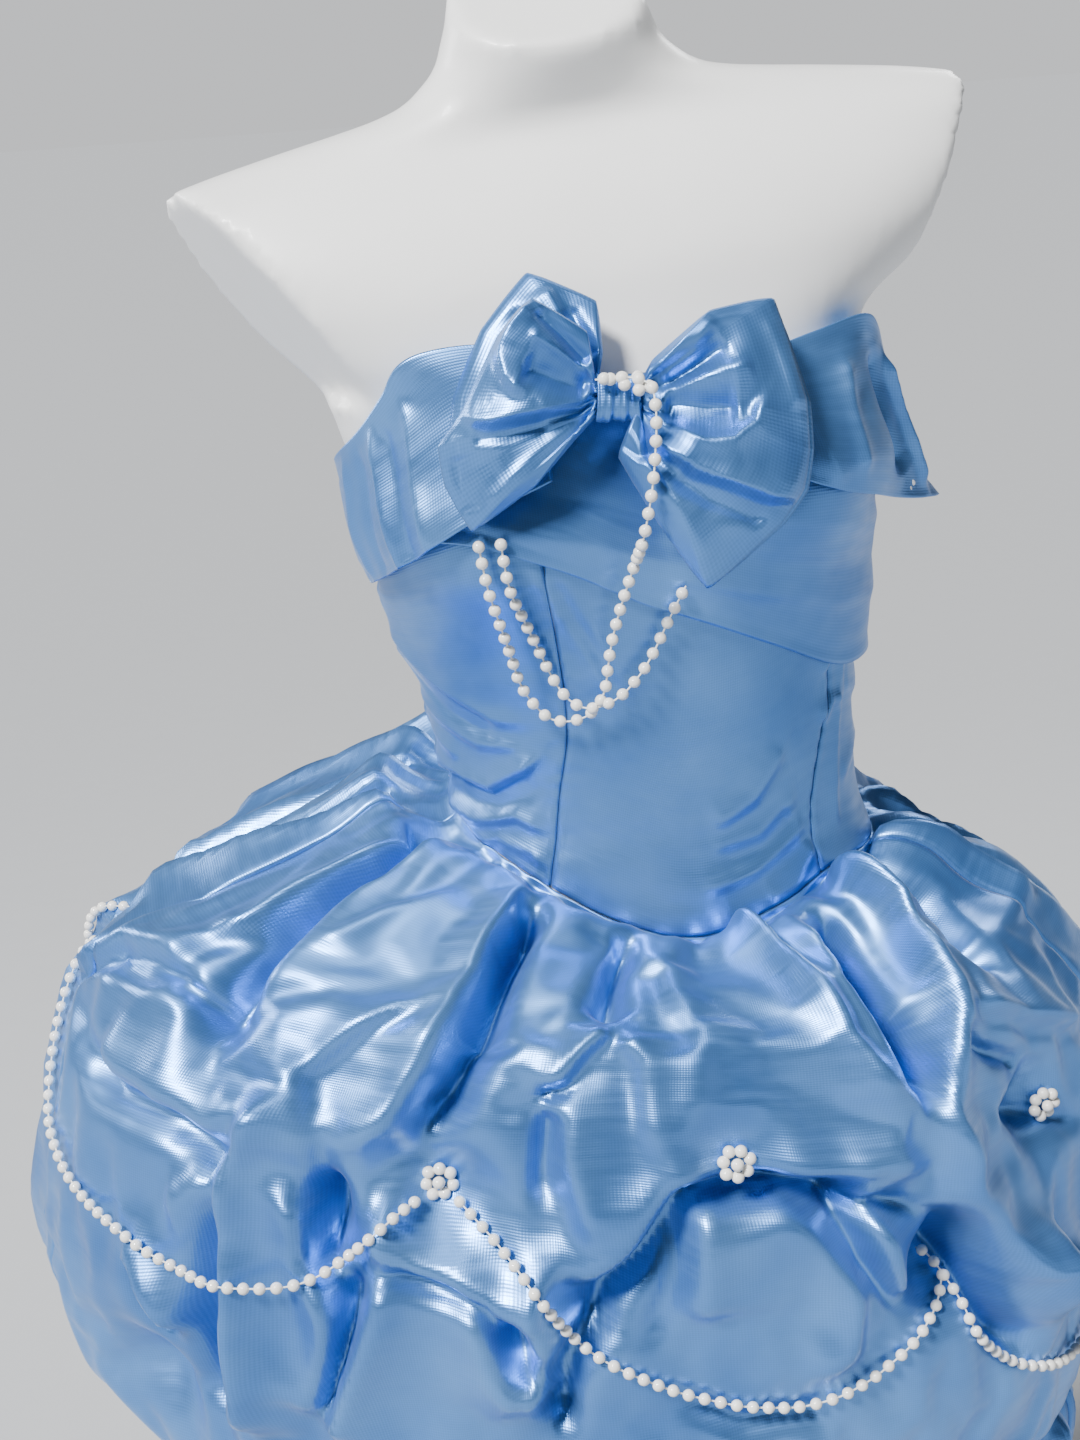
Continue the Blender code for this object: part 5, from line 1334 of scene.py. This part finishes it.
def settled_move(degrees):
    """How far each point of the coarse skirt moves when the cloth is let settle."""
    angle, along, per_degree, points = skirt_surface(degrees, SKIRT_ROWS)
    obj = grid_object("skirt_ring", points, closed=True)
    hold = np.maximum(HOLD["cloth"], HOLD["garland"] * garland_nearness(angle, along, per_degree))
    for *spot, _, _ in PICK_UPS:
        hold = np.maximum(hold, bell(skirt_gap(angle, along, per_degree, spot), 1.2))
    hold = np.maximum(hold, ease((0.03 - along) / 0.015))
    hold = np.maximum(hold, HOLD["hem"] * ease((along - 0.97) / 0.02))
    settle(obj, hold.ravel())
    move = mesh_points(obj, angle.shape) - points
    bpy.data.objects.remove(obj)
    size = np.linalg.norm(move, axis=-1, keepdims=True)
    return move * np.minimum(1, SETTLE_CAP / (size + TINY))


def make_skirt():
    """One ring of cloth, creased along listed lines and settled by simulation, then parted into its gores.

    Returns the gores and a tree of the whole ring for the pearls to rest on."""
    fine = np.arange(RING_START, RING_END, RING_STEP / FINER)
    rows = (SKIRT_ROWS - 1) * FINER + 1
    angle, along, _, points = skirt_surface(fine, rows)
    n = skirt_normals(angle, along)[0]
    for a0, t0, wide, tall, depth in DRAWN_IN:
        near = np.exp(-(wrapped(angle - a0) / wide)**2 - ((along - t0) / tall)**2)
        points = points - n * (depth * near)[..., None]
    move = settled_move(np.arange(RING_START, RING_END, RING_STEP))
    more = 3     # columns added past each end, so that the ring closes smoothly
    move = np.concatenate([move[:, -more:], move, move[:, :more + 1]], axis=1)
    move = resample(move, rows, (move.shape[1] - 1) * FINER + 1)
    points = points + move[:, more * FINER:more * FINER + len(fine)]
    points = evened(points)
    around = np.roll(points, -1, 1) - np.roll(points, 1, 1)
    outward = unit(np.cross(np.gradient(points, axis=0), around), 1e-12)
    ring = grid_object("skirt_ring", points, closed=True)
    corners = [tuple(v.co) for v in ring.data.vertices]
    tree = BVHTree.FromPolygons(corners, [tuple(p.vertices) for p in ring.data.polygons])
    bpy.data.objects.remove(ring)
    made = {}
    for name, (start, end, thin) in GORES.items():
        columns = [i for i, d in enumerate(fine) if start - 0.01 <= d <= end + 0.01]
        if end == RING_END:
            columns.append(0)
        columns = columns[:-1:thin] + columns[-1:]
        part = points[::thin, columns].copy()
        for edge in (0, -1):
            part[:, edge] -= outward[::thin, columns[edge]] * SEAM_TUCK
        made[name] = finished(grid_object(name + "_cloth", drawn_back(part)), SATIN)
    return made, tree


# ---------------------------------------------------------------- pearls


def even_route(points, spacing):
    """Points at an even spacing along a smooth curve through a route."""
    index = np.arange(len(points), dtype=float)
    rows = np.column_stack([index, points])
    fine = np.linspace(0, len(points) - 1, 60 * len(points))
    curve = np.stack([smooth(rows, fine, i) for i in (1, 2, 3)], -1)
    length = np.concatenate([[0], np.cumsum(np.linalg.norm(np.diff(curve, axis=0), axis=1))])
    count = max(4, int(round(length[-1] / spacing)))
    at = np.linspace(0, length[-1], count + 1)
    return np.stack([np.interp(at, length, curve[:, i]) for i in range(3)], -1), length[-1]


def bead_shape():
    """Vertices and faces of a unit bead."""
    mesh = bmesh.new()
    bmesh.ops.create_uvsphere(mesh, u_segments=14, v_segments=9, radius=1.0)
    mesh.verts.ensure_lookup_table()
    verts = np.array([v.co for v in mesh.verts])
    faces = [[v.index for v in f.verts] for f in mesh.faces]
    mesh.free()
    return verts, faces


def beads_mesh(name, centres, directions, radius, thread=None, bead=NACRE):
    """Beads at centres (cm), each turned along its thread, and the thread between them, as one mesh."""
    ball, ball_faces = bead_shape()
    verts, faces, slots = [], [], []
    for centre, direction in zip(centres, directions):
        turn = np.array(Vector(direction).normalized().to_track_quat("Z", "Y").to_matrix())
        base = sum(len(v) for v in verts)
        verts.append(centre + (ball * radius) @ turn.T)
        faces += [[base + i for i in f] for f in ball_faces]
        slots += [0] * len(ball_faces)
    if thread is not None:
        sides = 6
        tangent = unit(np.gradient(thread, axis=0))
        side = unit(np.cross(tangent, [0.0, 0.0, 1.0]), TINY)
        other = np.cross(tangent, side)
        turn = (np.arange(sides) * 2 * math.pi / sides)[None, :, None]
        round_it = np.cos(turn) * side[:, None] + np.sin(turn) * other[:, None]
        rings = thread[:, None] + THREAD_RADIUS * round_it
        base = sum(len(v) for v in verts)
        verts.append(rings.reshape(-1, 3))
        made = (grid_faces(len(thread), sides, closed=True) + base).tolist()
        made.append([base + i for i in range(sides)])
        made.append([base + (len(thread) - 1) * sides + i for i in range(sides)][::-1])
        faces += made
        slots += [1] * len(made)
    data = bpy.data.meshes.new(name)
    data.from_pydata(place(np.concatenate(verts)).tolist(), [], faces)
    data.materials.append(bead)
    data.materials.append(CORD)
    data.polygons.foreach_set("material_index", slots)
    data.shade_smooth()
    return linked(name, data)


def pearl_strand(name, route):
    """A strand of pearls on its thread."""
    fine, length = even_route(route, 0.15)
    count = int(round(length / PEARL_PITCH))
    pitch = length / count
    at = (np.arange(count) + 0.5) * pitch
    run = np.linspace(0, length, len(fine))
    centres = np.stack([np.interp(at, run, fine[:, i]) for i in range(3)], -1)
    ahead = np.stack([np.interp(at + 0.1, run, fine[:, i]) for i in range(3)], -1)
    obj = beads_mesh(name + "_beads", centres, ahead - centres, PEARL / 2, fine[::2])
    return obj


def eased_depth(route, reach):
    """A route whose steps away from the camera are spread over a longer way, shown in the same place."""
    eye = np.array(CAMERA["at"])
    fine, _ = even_route(route, 0.5)
    far = np.linalg.norm(fine - eye, axis=1)
    views = (fine - eye) / far[:, None]
    side = int(reach / 0.5)
    soft = averaged(sliding(np.min, far, side // 2), side)
    ends = ease(np.minimum(np.arange(len(far)), np.arange(len(far))[::-1]) / (2.0 * side))
    depth = far * (1 - ends) + np.minimum(soft, far + 0.2) * ends
    return (eye + views * depth[:, None])[::2]


def seen_spot(tree, eye, view):
    """Where the camera's line meets the cloth, in cm, or None."""
    seen = tree.ray_cast(Vector(place(eye)), Vector(view), 3.0)[0]
    return None if seen is None else unplaced(seen)


def seated_point(point, n, tree):
    """A point moved along its normal onto the cloth, or to where the camera sees it there."""
    eye = np.array(CAMERA["at"])
    start = Vector(place(point + n * 4.0))
    hit = tree.ray_cast(start, Vector(-n), 0.09)[0]
    lift = 0.0 if hit is None else 4.0 - (start - hit).length / CM
    level = point + n * (lift + PEARL / 2 + SEAT_GAP)
    view = unit(point - eye)
    facing = float(ease((-view @ n - 0.2) / 0.3))
    spot = seen_spot(tree, eye, view) if facing > 0 else None
    if spot is None:
        return level
    spot = spot + n * (PEARL / 2 + SEAT_GAP)
    near = np.linalg.norm(spot - point) < 3.6
    return level * (1 - facing) + spot * facing if near else level


def seat_route(route, outward, tree):
    """Moves a route until it rests on the cloth, bridging hollows.

    Where the camera sees it, it lands where it shows; elsewhere it moves along its normals."""
    eye = np.array(CAMERA["at"])
    seated = np.array([seated_point(point, n, tree) for point, n in zip(route, outward)])
    lifts = np.sum((seated - route) * outward, axis=1)
    aside = seated - route - lifts[:, None] * outward
    for _ in range(2):
        lifts = np.maximum(lifts, averaged(lifts, 4))
    lifts = averaged(lifts, 2)
    aside = np.stack([averaged(aside[:, i], 4) for i in range(3)], -1)
    seated = route + outward * lifts[:, None] + aside
    # brought towards the camera wherever the cloth would hide it
    views = unit(seated - eye)
    short = np.zeros(len(seated))
    for i, (view, n) in enumerate(zip(views, outward)):
        spot = seen_spot(tree, eye, view)
        if spot is not None and -view @ n > 0.1:
            ahead = (seated[i] - spot) @ view + PEARL / 2
            short[i] = ahead if ahead < 3.0 else 0.0
    short = averaged(sliding(np.max, np.maximum(short, 0), 3), 2)
    return seated - views * short[:, None]


def to_flower(table, end):
    """Carries one end of a garland on until it meets its flower."""
    angle, along = table[end]
    spots = [(*flower, 1.2) for flower in FLOWERS] + [(*GARLAND_JOIN, 0.5)]
    reaches = [math.hypot((a - angle) * 0.5, (t - along) * SKIRT_LENGTH) for a, t, _ in spots]
    nearest = int(np.argmin(reaches))
    if reaches[nearest] > 2.5:
        return table
    *spot, gap = spots[nearest]
    share = max(0.0, 1 - gap / reaches[nearest])
    extra = table[end] + (np.array(spot) - table[end]) * share
    return np.vstack([extra, table]) if end == 0 else np.vstack([table, extra])


def make_garlands(tree):
    """Swags of pearls round the skirt, lying on the settled cloth."""
    made = {}
    for number, rows in enumerate(GARLANDS, 1):
        table = to_flower(to_flower(rows, 0), -1)
        index = np.column_stack([np.arange(len(table)), table])
        at = np.linspace(0, len(table) - 1, 91)
        angle, along = smooth(index, at, 1), smooth(index, at, 2)
        n, _ = skirt_normals(angle, along)
        route = seat_route(skirt_plain(angle, along), n, tree)
        made[f"pearl_garland_{number}"] = pearl_strand(f"pearl_garland_{number}", route[::3])
    return made


def make_flowers(tree):
    """Clusters of pearls where the skirt is caught up: a ring of petals round a raised middle."""
    made = {}
    for number, (angle, along) in enumerate(FLOWERS, 1):
        n = skirt_normals(angle, along)[0]
        spot = seated_point(skirt_plain(angle, along), n, tree)
        start = Vector(place(spot + n * 2.0))
        there = tree.ray_cast(start, Vector(-n), 0.05)[1]
        if there is not None:
            tilt = np.array(there) * np.sign(np.dot(there, n))
            n = unit(n + tilt)
        side = unit(np.cross(n, [0.0, 0.0, 1.0]))
        other = np.cross(side, n)
        centres = [spot + n * 0.34]
        for petal in range(FLOWER_PETALS):
            turn = 2 * math.pi * petal / FLOWER_PETALS + 0.37 * number
            reach = 0.70 + 0.04 * math.sin(petal * 2.3 + number)
            centres.append(spot + (side * math.cos(turn) + other * math.sin(turn)) * reach
                           + n * (0.02 + 0.05 * math.sin(petal * 1.7)))
        made[f"pearl_flower_{number}"] = beads_mesh(
            f"pearl_flower_{number}_beads", np.array(centres), np.tile(side, (len(centres), 1)), 0.335)
    return made


# ---------------------------------------------------------------- putting it together


def put(piece, node_name):
    """The piece stands for a CAD node, whose part it hides."""
    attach(piece, "root")
    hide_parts(node_name)


def put_cloth(piece, node_name):
    """A cloth piece stands for its CAD node like any other piece."""
    put(piece, node_name)


def put_trim(piece):
    """A small piece with no node of its own."""
    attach(piece, "root")


make_camera()
make_lights()
make_floor()

gores, ring_tree = make_skirt()
for gore_name, gore in gores.items():
    put_cloth(gore, gore_name)

form_piece = make_form()
form_piece.name = "form_shell"
put(form_piece, "form_torso")
pole_piece, base_piece = make_stand()
put(pole_piece, "stand_pole")
put(base_piece, "stand_base")

for panel_name, panel in make_bodice().items():
    if panel_name == "edge":
        put_trim(panel)
    else:
        put_cloth(panel, panel_name)
put_cloth(make_drape(), "bust_drape")
for collar in COLLARS:
    put_cloth(make_collar(*collar), collar[0])

for wing_name, wing_outline in BOW_EDGES.items():
    put_cloth(make_wing(wing_name, wing_outline), wing_name)
put_cloth(make_knot(), "bow_knot")

first = eased_depth(np.vstack([bow_point(*np.array(STRAND_1_TOP).T), body(*np.array(STRAND_1).T)]), 3.0)
second = body(*np.array(STRAND_2).T)
for strand_name, strand_route in (("pearl_bow_strand_1", first), ("pearl_bow_strand_2", second)):
    put(pearl_strand(strand_name, strand_route), strand_name)
put_trim(beads_mesh("knot_beads", bow_point(*np.array(KNOT_BEADS).T), [BOW_UP] * len(KNOT_BEADS),
                    PEARL / 2))
put_trim(beads_mesh("collar_clear_beads", body(*np.array(CLEAR_BEADS).T), [BOW_UP] * len(CLEAR_BEADS),
                    CLEAR_BEAD / 2, bead=CRYSTAL))
for maker in (make_garlands, make_flowers):
    for trim_name, trim in maker(ring_tree).items():
        put(trim, trim_name)
